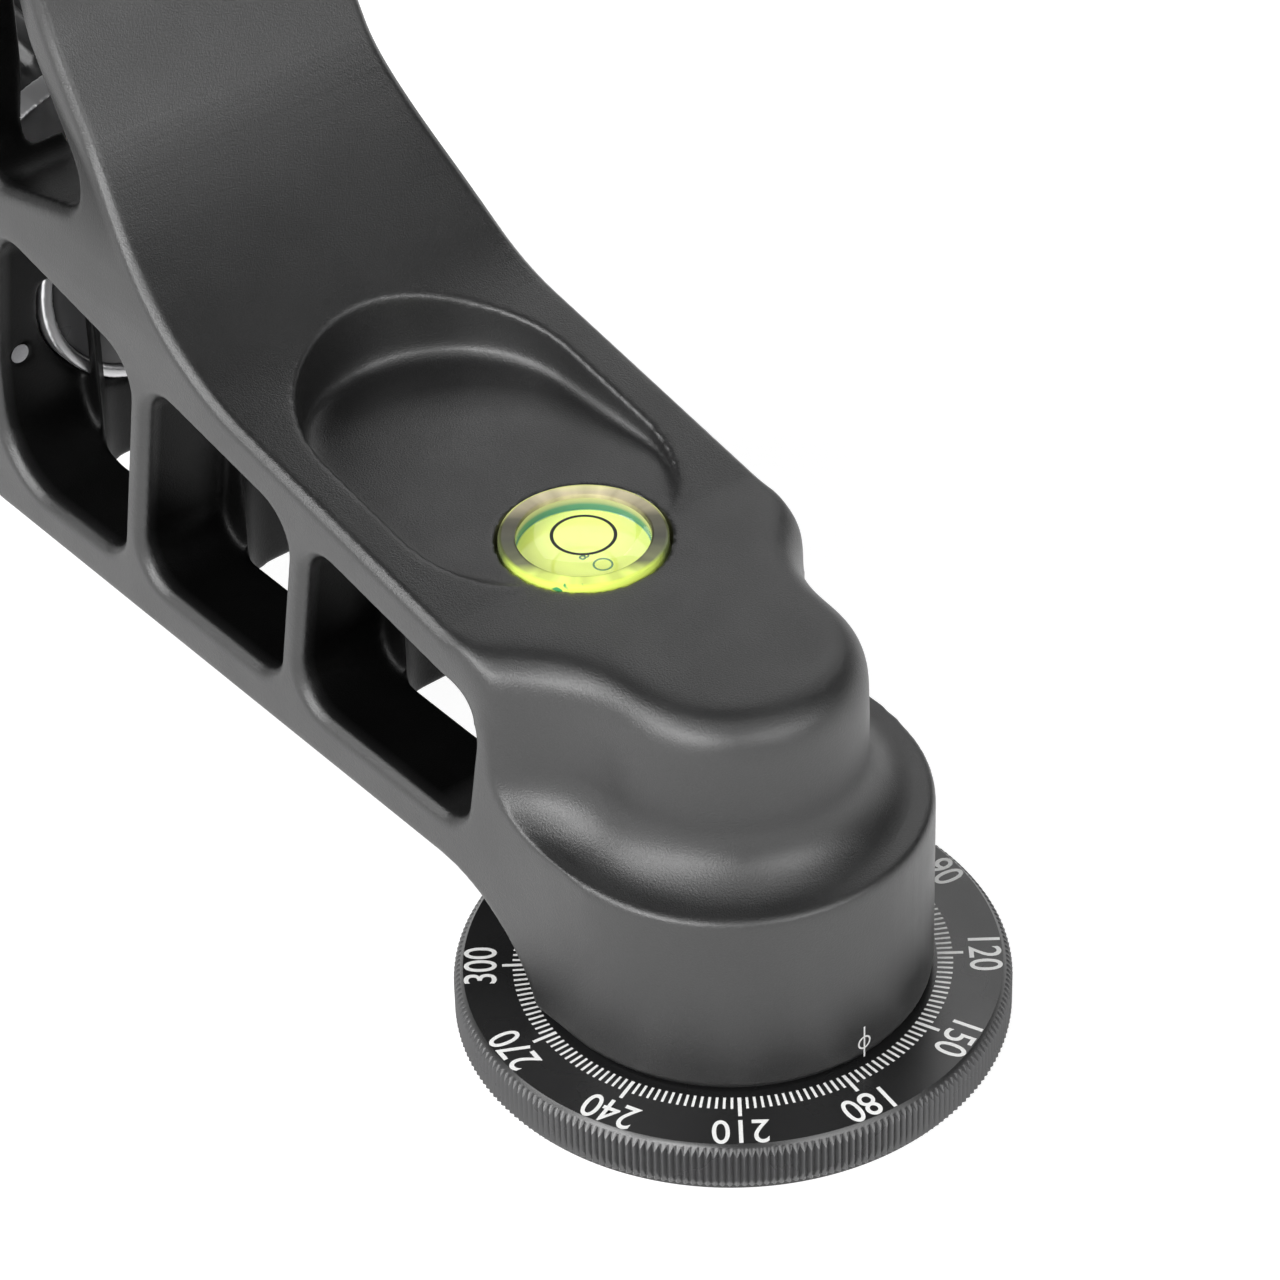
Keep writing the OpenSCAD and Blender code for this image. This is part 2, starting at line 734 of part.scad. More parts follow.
// The finger pocket's outline, from a floor upwards
module pocket_form(w, floor_z) {
    translate([0, pocket_front_y, floor_z]) cylinder(r = w, h = far);
    translate([0, pocket_front_y + pocket_len, floor_z]) cylinder(r = w, h = far);
    translate([-w, pocket_front_y, floor_z]) cube([2 * w, pocket_len, far]);
}

module main_arm() {
    color(black) difference() {
        union() {
            pan_housing();
            difference() {
                side_extrude(-housing_r, housing_r) arm_outline();
                shoulders();
            }
            along_y(inner_y, tilt_z) cylinder(r = housing_r, h = upright_t);
        }
        pocket_form(pocket_w, plateau_z);
        translate([0, level_y, plateau_z - level_depth]) cylinder(r = level_r, h = far);
        side_windows();
        hollows();
        outer_slot();
        top_window();
        along_y(inner_y - 1, recess_z) cylinder(r = recess_r, h = upright_rim + 3);
        pan_bores();
        rod_bores();
        tilt_bores();
        bush_screw_places() translate([0, 0, -bush_screw_len - 1])
            cylinder(r = bush_screw_r + seat_fit, h = far);
    }
}

module level_cup() {
    color(clear) translate([0, level_y, plateau_z - level_depth]) difference() {
        cylinder(r = level_r - seat_fit, h = level_depth);
        translate([0, 0, 1]) cylinder(r = level_r - level_wall, h = level_depth);
    }
}

module level_fluid() {
    color(fluid) translate([0, level_y, plateau_z - level_depth + 1])
        cylinder(r = level_r - level_wall - seat_fit, h = level_depth - 1 - lens_t);
}

module level_lens() {
    color(clear) translate([0, level_y, plateau_z - lens_t])
        cylinder(r = level_r - level_wall - seat_fit, h = lens_t);
}

// Elbow bush and its screws
module bush_screw_places() {
    for (x = [-1, 1]) {
        for (z = [-1, 1]) along_y(outer_y, bush_z + z * bush_screw_z, x * bush_screw_x) children();
    }
}

module elbow_bush() {
    color(silver) difference() {
        union() {
            along_y(slot_y, bush_z) cylinder(r = bush_r, h = slot_depth);
            along_y(outer_y, bush_z) cylinder(r = flange_r, h = flange_t);
            intersection() {
                on_rod(0) cylinder(r = boss_r, h = boss_s);
                translate([-far, outer_y + 1, 0]) cube([2 * far, far, 2 * far]);
            }
        }
        along_y(slot_y - 1, bush_z) cylinder(r = bush_r - bush_ring_w, h = bush_recess + 1);
        on_rod(0) cylinder(r = rod_r + run_fit, h = boss_s + 1);
        bush_screw_places() {
            translate([0, 0, -1]) cylinder(r = bush_screw_r + 0.1, h = far);
            translate([0, 0, flange_t - bush_screw_head_h]) cylinder(r = bush_screw_head_r + 0.1, h = far);
        }
    }
}

module bush_screws() {
    color(steel) bush_screw_places() translate([0, 0, flange_t - bush_screw_head_h]) rotate([180, 0, 0])
        cap_screw(bush_screw_r, bush_screw_len + flange_t - bush_screw_head_h, bush_screw_head_r,
            bush_screw_head_h - 0.2);
}

module pan_lock_nut() {
    color(dial_black) difference() {
        along_y(slot_y + 0.7, bush_z) cylinder(r = bush_r - bush_ring_w - 0.1, h = bush_recess - 0.7);
        on_rod(0) cylinder(r = rod_r + run_fit, h = boss_s);
    }
}

module pan_brake_shoe() {
    color(brass) difference() {
        on_rod(0) cylinder(r = shoe_r, h = shoe_back_s);
        cylinder(r = drum_r + shoe_gap, h = far);
    }
}

module pan_lock_rod() {
    color(steel) on_rod(shoe_back_s + face_gap)
        cylinder(r = rod_r, h = pan_knob_s + knob_screw_depth - shoe_back_s - face_gap);
}

module pan_lock_knob() {
    color(rubber) on_rod(pan_knob_s) difference() {
        fluted_knob(pan_knob_r, pan_knob_len, 18, 2.2);
        translate([0, 0, -eps]) cylinder(r = rod_r + seat_fit, h = knob_screw_depth + eps);
        translate([0, 0, pan_knob_len - cap_t]) cylinder(r = boss_r - 2 + seat_fit, h = far);
    }
}

module pan_knob_cap() {
    color(silver) on_rod(pan_knob_s + pan_knob_len - cap_t) cylinder(r = boss_r - 2, h = cap_t);
}

// Tilt bearings, axle and lock
module tilt_inner_outer_race() {
    color(steel) along_y(tilt_race_y, tilt_z) outer_race(big_bore_r, big_outer_r, big_width, big_ball_r);
}

module tilt_inner_balls() {
    color(silver) along_y(tilt_race_y, tilt_z) balls(big_bore_r, big_outer_r, big_width, big_ball_r);
}

module tilt_outer_outer_race() {
    color(steel) along_y(tilt_outer_y, tilt_z) outer_race(big_bore_r, big_outer_r, big_width, big_ball_r);
}

module tilt_outer_balls() {
    color(silver) along_y(tilt_outer_y, tilt_z) balls(big_bore_r, big_outer_r, big_width, big_ball_r);
}

module tilt_inner_race_a() {
    color(steel) along_y(tilt_race_y, tilt_z) inner_race(big_bore_r, big_outer_r, big_width, big_ball_r);
}

module tilt_inner_race_b() {
    color(steel) along_y(tilt_outer_y, tilt_z) inner_race(big_bore_r, big_outer_r, big_width, big_ball_r);
}

module tilt_spacer() {
    color(steel) along_y(tilt_race_end, tilt_z)
        ring(axle_r + seat_fit, axle_collar_r, tilt_outer_y - tilt_race_end);
}

module tilt_retainer() {
    color(steel) along_y(tilt_outer_end, tilt_z)
        ring(axle_collar_r + 1, big_outer_r - seat_fit, outer_y - tilt_outer_end - 0.2);
}

module tilt_axle() {
    color(steel) difference() {
        union() {
            along_y(swing_y, tilt_z) cylinder(r = axle_collar_r, h = tilt_race_y - swing_y);
            along_y(swing_y, tilt_z) cylinder(r = axle_r, h = tilt_outer_end - swing_y);
            along_y(swing_y, tilt_z) cylinder(r = axle_neck_r, h = washer_y + washer_t - swing_y);
            along_y(swing_y, tilt_z) cylinder(r = axle_thread_r, h = axle_end_y - swing_y);
        }
        hub_screw_places() cylinder(r = hub_screw_r + seat_fit, h = swing_t + 14);
    }
}

module tilt_friction_washer() {
    color(brass) along_y(washer_y, tilt_z) ring(axle_neck_r + seat_fit, washer_r, washer_t);
}

module tilt_clip() {
    color(steel) along_y(axle_end_y - 0.6 - clip_t, tilt_z) ring(axle_thread_r + seat_fit, clip_r, clip_t);
}

module tilt_lock_knob() {
    color(rubber) along_y(tilt_knob_y, tilt_z) difference() {
        fluted_knob(tilt_knob_r, tilt_knob_len, 24, 2.4);
        translate([0, 0, -eps]) cylinder(r = tilt_insert_r + seat_fit, h = tilt_knob_len + 2 * eps);
    }
}

module tilt_lock_insert() {
    color(brass) along_y(tilt_knob_y, tilt_z) ring(axle_thread_r + run_fit, tilt_insert_r, tilt_insert_len);
}

// Swing arm with its dovetail rail
module rail_section(grow) {
    polygon([[-rail_w - grow, swing_front_y - grow], [rail_w + grow, swing_front_y - grow],
        [rail_w + grow, head_y + grow / 2], [rail_neck_w + grow, neck_y + grow / 2],
        [rail_neck_w + grow, neck_end_y], [rail_w, neck_end_y + dovetail_d], [rail_w, swing_y],
        [-rail_w, swing_y], [-rail_w, neck_end_y + dovetail_d], [-rail_neck_w - grow, neck_end_y],
        [-rail_neck_w - grow, neck_y + grow / 2], [-rail_w - grow, head_y + grow / 2]]);
}

module hub_screw_places() {
    for (a = [45:90:315]) {
        along_y(swing_front_y + hub_cap_t + 3.6, tilt_z) rotate([0, 0, a]) translate([hub_screw_ring, 0, 0])
            children();
    }
}

module stop_places() {
    for (x = [-1, 1]) along_y(swing_front_y, tilt_z - rail_len + 4, x * rail_w * 0.5) children();
}

module swing_arm() {
    color(black) difference() {
        union() {
            along_y(swing_front_y, tilt_z) cylinder(r = hub_r, h = swing_t);
            translate([0, 0, tilt_z - rail_len]) linear_extrude(rail_len) rail_section(0);
        }
        along_y(swing_front_y - 1, tilt_z) cylinder(r = hub_cap_r + seat_fit, h = hub_cap_t + 1);
        hub_screw_places() {
            translate([0, 0, -far]) cylinder(r = hub_screw_head_r + 0.1, h = far);
            cylinder(r = hub_screw_r + 0.1, h = far);
        }
        stop_places() translate([0, 0, -1]) cylinder(r = stop_r + seat_fit, h = 7);
    }
}

module hub_screws() {
    color(steel) hub_screw_places() cap_screw(hub_screw_r, swing_t + 4, hub_screw_head_r, 3.4);
}

module hub_cap() {
    color(silver) along_y(swing_front_y, tilt_z) cylinder(r = hub_cap_r, h = hub_cap_t);
}

module rail_stop_screws() {
    color(steel) stop_places() translate([0, 0, -2.5]) cylinder(r = stop_r, h = 8);
}

// Platform and carriage in one bracket
module platform() {
    color(black) difference() {
        union() {
            translate([-carriage_w, carriage_y, carriage_bottom])
                cube([2 * carriage_w, neck_y + 0.6 - carriage_y, carriage_top - carriage_bottom]);
            translate([-platform_w, -platform_front, platform_z - platform_t])
                cube([2 * platform_w, platform_front + carriage_y + 1, platform_t]);
            side_extrude(-platform_w, platform_w) polygon(concat([[carriage_y + 1, platform_z - platform_t]],
                arc([carriage_y - brace_y, platform_z - platform_t - brace_y], brace_y, 90, 0, 10),
                [[carriage_y + 1, platform_z - platform_t - brace_y]]));
            along_x(carriage_w - 1, gib_mid_y, lock_z) cylinder(r = lock_boss_r, h = lock_boss_len + 1);
        }
        translate([0, 0, carriage_bottom - 1]) linear_extrude(far) rail_section(rail_fit);
        translate([0, 0, carriage_bottom - 1]) linear_extrude(far)
            translate([-carriage_w - 1, neck_end_y]) square([2 * carriage_w + 2, swing_t]);
        translate([rail_w - 1, gib_y - face_gap, lock_z - gib_h / 2 - face_gap])
            cube([gib_gap + gib_t + face_gap + 1, gib_d + 2 * face_gap, gib_h + 2 * face_gap]);
        along_x(rail_w, gib_mid_y, lock_z) cylinder(r = rod_r + run_fit, h = far);
        side_extrude(-far, far) polygon(rounded([[platform_window_y, platform_z - platform_t - 20],
            [carriage_y - brace_y - 4, platform_z - platform_t - 20],
            [carriage_y - brace_y - 4, platform_z - platform_t + 3],
            [platform_window_y, platform_z - platform_t + 3]], [1, 1, 2, 2]));
        clamp_screw_places() {
            translate([0, 0, -far]) cylinder(r = clamp_head_r + 0.1, h = far);
            cylinder(r = clamp_screw_r + 0.1, h = far);
        }
    }
}

module clamp_screw_places() {
    for (x = [-1, 1]) {
        for (y = [clamp_screw_front_y, clamp_screw_back_y])
            translate([x * clamp_screw_x, y, clamp_seat_z]) children();
    }
}

module height_gib() {
    color(brass) translate([gib_x, gib_y, lock_z - gib_h / 2]) cube([gib_t, gib_d, gib_h]);
}

module height_lock_screw() {
    color(steel) along_x(gib_x + gib_t + face_gap, gib_mid_y, lock_z)
        cylinder(r = rod_r, h = height_knob_x + height_knob_len - 4 - gib_x - gib_t - face_gap);
}

module height_lock_knob() {
    color(rubber) along_x(height_knob_x, gib_mid_y, lock_z) difference() {
        fluted_knob(height_knob_r, height_knob_len, 16, 2);
        translate([0, 0, -eps]) cylinder(r = rod_r + seat_fit, h = height_knob_len - 4 + eps);
    }
}

// Jaw outline, from the middle of the channel outwards
function jaw_points(foot) = [[channel_w, channel_z], [channel_w, channel_z + jaw_foot],
    [channel_w - jaw_lip, channel_z + jaw_foot + jaw_lip], [channel_w - jaw_lip, jaw_top],
    [jaw_back - 1, jaw_top], [jaw_back, jaw_top - 1], [jaw_back, foot]];

module clamp_base() {
    color(black) difference() {
        side_extrude(-clamp_len, clamp_len) polygon(concat(jaw_points(platform_z),
            [[-floor_edge, platform_z], [-floor_edge, channel_z]]));
        along_y(-far, screw_z) cylinder(r = rod_r + run_fit, h = far + screw_reach);
        for (x = [-pin_x, pin_x]) {
            along_y(-far, screw_z, x) cylinder(r = pin_r + run_fit, h = far + pin_reach);
        }
        clamp_screw_places() cylinder(r = clamp_screw_r + seat_fit, h = channel_z - clamp_seat_z - 1);
    }
}

module clamp_base_screws() {
    color(steel) clamp_screw_places()
        cap_screw(clamp_screw_r, channel_z - clamp_seat_z - 1.5, clamp_head_r, clamp_head_h);
}

module clamp_jaw() {
    color(black) difference() {
        mirror([0, 1, 0]) side_extrude(-clamp_len, clamp_len) polygon(concat(
            jaw_points(platform_z + face_gap), [[floor_edge + face_gap, platform_z + face_gap], [floor_edge + face_gap, channel_z]]));
        along_y(-far, screw_z) cylinder(r = rod_r + run_fit, h = 2 * far);
        for (x = [-pin_x, pin_x]) {
            along_y(-jaw_back + 1.5, screw_z, x) cylinder(r = pin_r + seat_fit, h = far);
        }
    }
}

module guide_pins() {
    color(steel) for (x = [-pin_x, pin_x]) {
        along_y(-jaw_back + 1.5, screw_z, x) cylinder(r = pin_r, h = jaw_back - 1.5 + pin_reach - 2);
    }
}

module clamp_screw() {
    color(steel) along_y(-jaw_back - knob_gap - clamp_knob_len + 3, screw_z)
        cylinder(r = rod_r, h = jaw_back + knob_gap + clamp_knob_len - 3 + screw_reach - 2);
}

module clamp_knob() {
    color(rubber) along_y(-jaw_back - knob_gap - clamp_knob_len, screw_z) difference() {
        fluted_knob(clamp_knob_r, clamp_knob_len, 16, 2);
        translate([0, 0, 3]) cylinder(r = rod_r + seat_fit, h = far);
    }
}

pan_base();
tripod_insert();
base_screws();
pan_spindle();
spindle_nut();
pan_lower_inner_race();
pan_upper_inner_race();
main_arm();
dust_seal();
bearing_retainer();
pan_lower_outer_race();
pan_lower_balls();
pan_upper_outer_race();
pan_upper_balls();
level_cup();
level_fluid();
level_lens();
elbow_bush();
bush_screws();
pan_lock_nut();
pan_brake_shoe();
pan_lock_rod();
pan_lock_knob();
pan_knob_cap();
tilt_inner_outer_race();
tilt_inner_balls();
tilt_outer_outer_race();
tilt_outer_balls();
tilt_retainer();
tilt_axle();
tilt_inner_race_a();
tilt_inner_race_b();
tilt_spacer();
tilt_friction_washer();
tilt_clip();
swing_arm();
hub_screws();
hub_cap();
rail_stop_screws();
tilt_lock_knob();
tilt_lock_insert();
platform();
height_gib();
height_lock_screw();
height_lock_knob();
clamp_base();
clamp_base_screws();
clamp_jaw();
guide_pins();
clamp_screw();
clamp_knob();
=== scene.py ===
import json
import math

import bmesh
import bpy
import numpy as np
from mathutils import Matrix, Vector
from mathutils.kdtree import KDTree

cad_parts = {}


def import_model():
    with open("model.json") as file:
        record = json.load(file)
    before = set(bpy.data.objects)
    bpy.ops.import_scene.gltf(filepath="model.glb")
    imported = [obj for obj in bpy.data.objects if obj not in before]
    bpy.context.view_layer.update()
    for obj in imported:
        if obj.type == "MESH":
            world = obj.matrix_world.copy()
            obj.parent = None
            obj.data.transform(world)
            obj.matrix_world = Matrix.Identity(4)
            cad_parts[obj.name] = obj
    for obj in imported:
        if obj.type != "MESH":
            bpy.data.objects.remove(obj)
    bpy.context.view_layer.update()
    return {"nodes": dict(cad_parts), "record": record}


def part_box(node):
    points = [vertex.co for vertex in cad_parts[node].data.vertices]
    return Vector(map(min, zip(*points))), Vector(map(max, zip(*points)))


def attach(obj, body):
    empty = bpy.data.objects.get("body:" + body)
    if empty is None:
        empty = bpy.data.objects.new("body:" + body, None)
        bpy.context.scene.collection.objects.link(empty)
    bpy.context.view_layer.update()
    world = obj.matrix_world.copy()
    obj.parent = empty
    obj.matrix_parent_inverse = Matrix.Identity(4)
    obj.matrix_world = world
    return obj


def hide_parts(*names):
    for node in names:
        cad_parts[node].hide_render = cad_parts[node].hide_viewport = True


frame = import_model()
MM = 0.001

# Points closer than this, in metres, are one
MERGE_DISTANCE = 0.000002

# The camera, in millimetres and degrees
CAMERA_AIM = (29.4, 53.1, 6.6)
CAMERA_DISTANCE = 676.8
CAMERA_AZIMUTH = 38.06
CAMERA_ELEVATION = 37.85
CAMERA_ROLL = -1.596
CAMERA_LENS = 154.69
CAMERA_SENSOR = 36.0

# The dial: radii and heights in millimetres, angles in degrees
DIAL_FACE = 6.6
DIAL_RIM = 31.2
GRIP_RADIUS = 32.0
GRIP_LOW = 1.0
GRIP_HIGH = 5.35
GRIP_DEPTH = 0.5
GRIP_TEETH = 240
DIAL_ZERO = 172.0
TICK_STEP = 2
NUMBER_STEP = 30
TICK_INNER = 23.4
TICK_OUTER = 25.2
LONG_TICK_OUTER = 26.4
TICK_WIDTH = 0.3
LONG_TICK_WIDTH = 0.42
NUMBER_RADIUS = 28.93
NUMBER_HEIGHT = 3.7
PRINT_THICKNESS = 0.02

# The level, in millimetres
LEVEL_RING_RADIUS = 3.6
LEVEL_RING_TUBE = 0.2
BUBBLE_RADIUS = 1.05
BUBBLE_SHIFT = (-1.34, -5.15)
SPECK_SHIFT = (-2.06, -2.67)
LEVEL_PROUD = 0.5
LEVEL_GAP = 0.3
RIM_LIP = 0.33
DISH_DEPTH = 2.3
DISH_WALL = 0.25


def camera():
    """The camera at the photograph's viewing angle."""
    azimuth = math.radians(CAMERA_AZIMUTH)
    elevation = math.radians(CAMERA_ELEVATION)
    roll = math.radians(CAMERA_ROLL)
    look = Vector((math.sin(azimuth) * math.cos(elevation), math.cos(azimuth) * math.cos(elevation),
                   -math.sin(elevation)))
    level = look.cross(Vector((0, 0, 1))).normalized()
    upright = level.cross(look)
    right = level * math.cos(roll) + upright * math.sin(roll)
    up = upright * math.cos(roll) - level * math.sin(roll)
    data = bpy.data.cameras.new("camera")
    data.lens = CAMERA_LENS
    data.sensor_width = CAMERA_SENSOR
    data.clip_start = 0.01
    data.clip_end = 20.0
    place = Vector(CAMERA_AIM) * MM - look * CAMERA_DISTANCE * MM
    turn = Matrix((right, up, -look)).transposed().to_4x4()
    obj = bpy.data.objects.new("camera", data)
    obj.matrix_world = Matrix.Translation(place) @ turn
    bpy.context.scene.collection.objects.link(obj)
    bpy.context.scene.camera = obj


# Materials

# The grain of blasted metal, per metre, and the way along which the painted refraction and reflection in the level's
# rim change
BLAST_SCALE = 4500.0
RIM_PAINTED_LIGHT_WAY = (0.616, 0.787, 0)

# The arm's tones, the painted shade and weaker gloss in its hollows, and where the hollows begin. Each pair fades
# from the first place to the second, in millimetres.
# Behind the bend the place is y less the slope times z.
ARM_TONES = ((0.004, 0.004, 0.0041), (0.012, 0.012, 0.0122))
# Painted shade: the colour and the gloss of the arm's hollows
HOLLOW_SHADE_TONE = (0.0015, 0.0015, 0.0015)
HOLLOW_SHADE_GLOSS = 0.2
HOLLOW_SIDE = (22.3, 20.3)
HOLLOW_FRONT = (24.0, 27.0)
HOLLOW_TOP = (51.0, 49.5)
HOLLOW_BACK = (119.0, 117.0)
UPRIGHT_FRONT = (99.5, 101.0)
BEND_SLOPE = 0.86
BEND_FRONT = (21.0, 23.0)


def new_material(name):
    """A node material and its main shader."""
    material = bpy.data.materials.new(name)
    material.use_nodes = True
    return material, material.node_tree.nodes["Principled BSDF"]


def node(material, kind, **values):
    """Adds a shader node with some of its settings or sockets given."""
    made = material.node_tree.nodes.new(kind)
    for key, value in values.items():
        if key in made.inputs:
            made.inputs[key].default_value = value
        else:
            setattr(made, key, value)
    return made


def grain(material, shader, scale, height, spread, middle):
    """Fine bump and an uneven roughness, in object space; returns the fine noise and the broad one."""
    links = material.node_tree.links
    place = node(material, "ShaderNodeTexCoord")
    fine = node(material, "ShaderNodeTexNoise", Scale=scale, Detail=3.0, Roughness=0.6)
    broad = node(material, "ShaderNodeTexNoise", Scale=scale / 40, Detail=2.0, Roughness=0.5)
    links.new(place.outputs["Object"], fine.inputs["Vector"])
    links.new(place.outputs["Object"], broad.inputs["Vector"])
    bump = node(material, "ShaderNodeBump", Strength=1.0, Distance=height)
    links.new(fine.outputs["Fac"], bump.inputs["Height"])
    links.new(bump.outputs["Normal"], shader.inputs["Normal"])
    rough = node(material, "ShaderNodeMapRange")
    rough.inputs["From Min"].default_value = 0.35
    rough.inputs["From Max"].default_value = 0.65
    rough.inputs["To Min"].default_value = middle - spread
    rough.inputs["To Max"].default_value = middle + spread
    links.new(broad.outputs["Fac"], rough.inputs["Value"])
    links.new(rough.outputs["Result"], shader.inputs["Roughness"])
    return fine, broad


def tinted(material, shader, source, dark, light):
    """Lets a noise move the colour a little between two tones."""
    ramp = node(material, "ShaderNodeValToRGB")
    ramp.color_ramp.elements[0].position = 0.3
    ramp.color_ramp.elements[1].position = 0.7
    ramp.color_ramp.elements[0].color = (*dark, 1)
    ramp.color_ramp.elements[1].color = (*light, 1)
    material.node_tree.links.new(source.outputs["Fac"], ramp.inputs["Fac"])
    material.node_tree.links.new(ramp.outputs["Color"], shader.inputs["Base Color"])


def anodised(name, dark, light, roughness, specular, height):
    """Bead-blasted aluminium, dyed and anodised."""
    material, shader = new_material(name)
    shader.inputs["Specular IOR Level"].default_value = specular
    fine = grain(material, shader, BLAST_SCALE, height, 0.03, roughness)[0]
    tinted(material, shader, fine, dark, light)
    return material


def in_hollows(material):
    """1 in the arm's hollows, where shade is painted, and 0 on its outer faces."""
    links = material.node_tree.links
    place = node(material, "ShaderNodeTexCoord")
    split = node(material, "ShaderNodeSeparateXYZ")
    off_middle = node(material, "ShaderNodeMath", operation="ABSOLUTE")
    links.new(place.outputs["Object"], split.inputs["Vector"])
    links.new(split.outputs["X"], off_middle.inputs[0])

    def step(source, start, end):
        """0 at start and 1 at end, even between them."""
        reach = node(material, "ShaderNodeMapRange")
        reach.inputs["From Min"].default_value = start * MM
        reach.inputs["From Max"].default_value = end * MM
        links.new(source, reach.inputs["Value"])
        return reach.outputs["Result"]

    def joined(operation, first, second):
        """One number made of two."""
        made = node(material, "ShaderNodeMath", operation=operation)
        links.new(first, made.inputs[0])
        links.new(second, made.inputs[1])
        return made.outputs[0]

    under = joined("MULTIPLY", step(split.outputs["Z"], *HOLLOW_TOP), step(split.outputs["Y"], *HOLLOW_FRONT))
    behind = node(material, "ShaderNodeMath", operation="MULTIPLY_ADD")
    behind.inputs[1].default_value = -BEND_SLOPE
    links.new(split.outputs["Z"], behind.inputs[0])
    links.new(split.outputs["Y"], behind.inputs[2])
    inner = joined("MAXIMUM", under, step(split.outputs["Y"], *UPRIGHT_FRONT))
    inner = joined("MAXIMUM", inner, step(behind.outputs[0], *BEND_FRONT))
    inner = joined("MULTIPLY", inner, step(split.outputs["Y"], *HOLLOW_BACK))
    return joined("MULTIPLY", inner, step(off_middle.outputs[0], *HOLLOW_SIDE))


def arm_material():
    """The arm's black finish, with painted shade in its hollows: darker and less glossy there."""
    material = anodised("arm_black", *ARM_TONES, 0.38, 1.0, 0.00005)
    links = material.node_tree.links
    shader = material.node_tree.nodes["Principled BSDF"]
    # Painted shade: the hollows get a darker colour and a weaker gloss
    hollow_shade = in_hollows(material)
    colour = mixed(material, hollow_shade, shader.inputs["Base Color"].links[0].from_socket, (*HOLLOW_SHADE_TONE, 1))
    links.new(colour, shader.inputs["Base Color"])
    gloss = node(material, "ShaderNodeMapRange")
    gloss.inputs["To Min"].default_value = 1.0
    gloss.inputs["To Max"].default_value = HOLLOW_SHADE_GLOSS
    links.new(hollow_shade, gloss.inputs["Value"])
    links.new(gloss.outputs["Result"], shader.inputs["Specular IOR Level"])
    return material


def dial_material():
    """The dial's black finish, with a painted highlight: paler on its edge chamfer and grip band."""
    material = anodised("dial_black", (0.009, 0.009, 0.0092), (0.015, 0.015, 0.0154), 0.27, 0.7, 0.000004)
    shader = material.node_tree.nodes["Principled BSDF"]
    face = shader.inputs["Base Color"].links[0].from_socket
    place = node(material, "ShaderNodeTexCoord")
    flat = node(material, "ShaderNodeVectorMath", operation="MULTIPLY")
    flat.inputs[1].default_value = (1, 1, 0)
    radius = node(material, "ShaderNodeVectorMath", operation="LENGTH")
    material.node_tree.links.new(place.outputs["Object"], flat.inputs[0])
    material.node_tree.links.new(flat.outputs["Vector"], radius.inputs[0])
    # Painted highlight: the chamfer and the grip band are paler than the face
    painted_edge_highlight = tone_ramp(material, radius.outputs["Value"], (DIAL_RIM - 0.1) * MM, GRIP_RADIUS * MM, (
        (0.0, (0, 0, 0)), (0.4, (0.45, 0.45, 0.45)), (1.0, (1, 1, 1))))
    colour = mixed(material, painted_edge_highlight, face, (0.08, 0.08, 0.082, 1))
    material.node_tree.links.new(colour, shader.inputs["Base Color"])
    return material


def turned_metal(name, dark, light, roughness):
    """Bare metal with fine turning marks."""
    material, shader = new_material(name)
    shader.inputs["Metallic"].default_value = 1.0
    broad = grain(material, shader, 3000.0, 0.000004, 0.05, roughness)[1]
    tinted(material, shader, broad, dark, light)
    return material


def rubber_material():
    """Matt black rubber, a little uneven."""
    material, shader = new_material("seal_rubber")
    broad = grain(material, shader, 2500.0, 0.00001, 0.05, 0.7)[1]
    tinted(material, shader, broad, (0.012, 0.012, 0.012), (0.022, 0.022, 0.022))
    return material


def print_material():
    """White ink of the marks and numbers."""
    material, shader = new_material("white_print")
    fine = grain(material, shader, 5000.0, 0.000002, 0.05, 0.45)[0]
    tinted(material, shader, fine, (0.74, 0.74, 0.73), (0.86, 0.86, 0.85))
    return material


def cover_material():
    """The level's thin cover: clear, with the gloss of acrylic on its outer side."""
    material, shader = new_material("level_cover")
    links = material.node_tree.links
    output = material.node_tree.nodes["Material Output"]
    shader.inputs["Metallic"].default_value = 1.0
    broad = grain(material, shader, 900.0, 0.0000004, 0.01, 0.03)[1]
    tinted(material, shader, broad, (0.90, 0.94, 0.88), (0.94, 0.97, 0.92))
    clear = node(material, "ShaderNodeBsdfTransparent")
    mix = node(material, "ShaderNodeMixShader")
    edge = node(material, "ShaderNodeFresnel", IOR=1.45)
    place = node(material, "ShaderNodeNewGeometry")
    outside = node(material, "ShaderNodeMath", operation="SUBTRACT")
    outside.inputs[0].default_value = 1.0
    gloss = node(material, "ShaderNodeMath", operation="MULTIPLY")
    links.new(place.outputs["Backfacing"], outside.inputs[1])
    links.new(outside.outputs[0], gloss.inputs[0])
    links.new(edge.outputs["Fac"], gloss.inputs[1])
    links.new(gloss.outputs[0], mix.inputs["Fac"])
    links.new(clear.outputs["BSDF"], mix.inputs[1])
    links.new(shader.outputs["BSDF"], mix.inputs[2])
    links.new(mix.outputs["Shader"], output.inputs["Surface"])
    return material


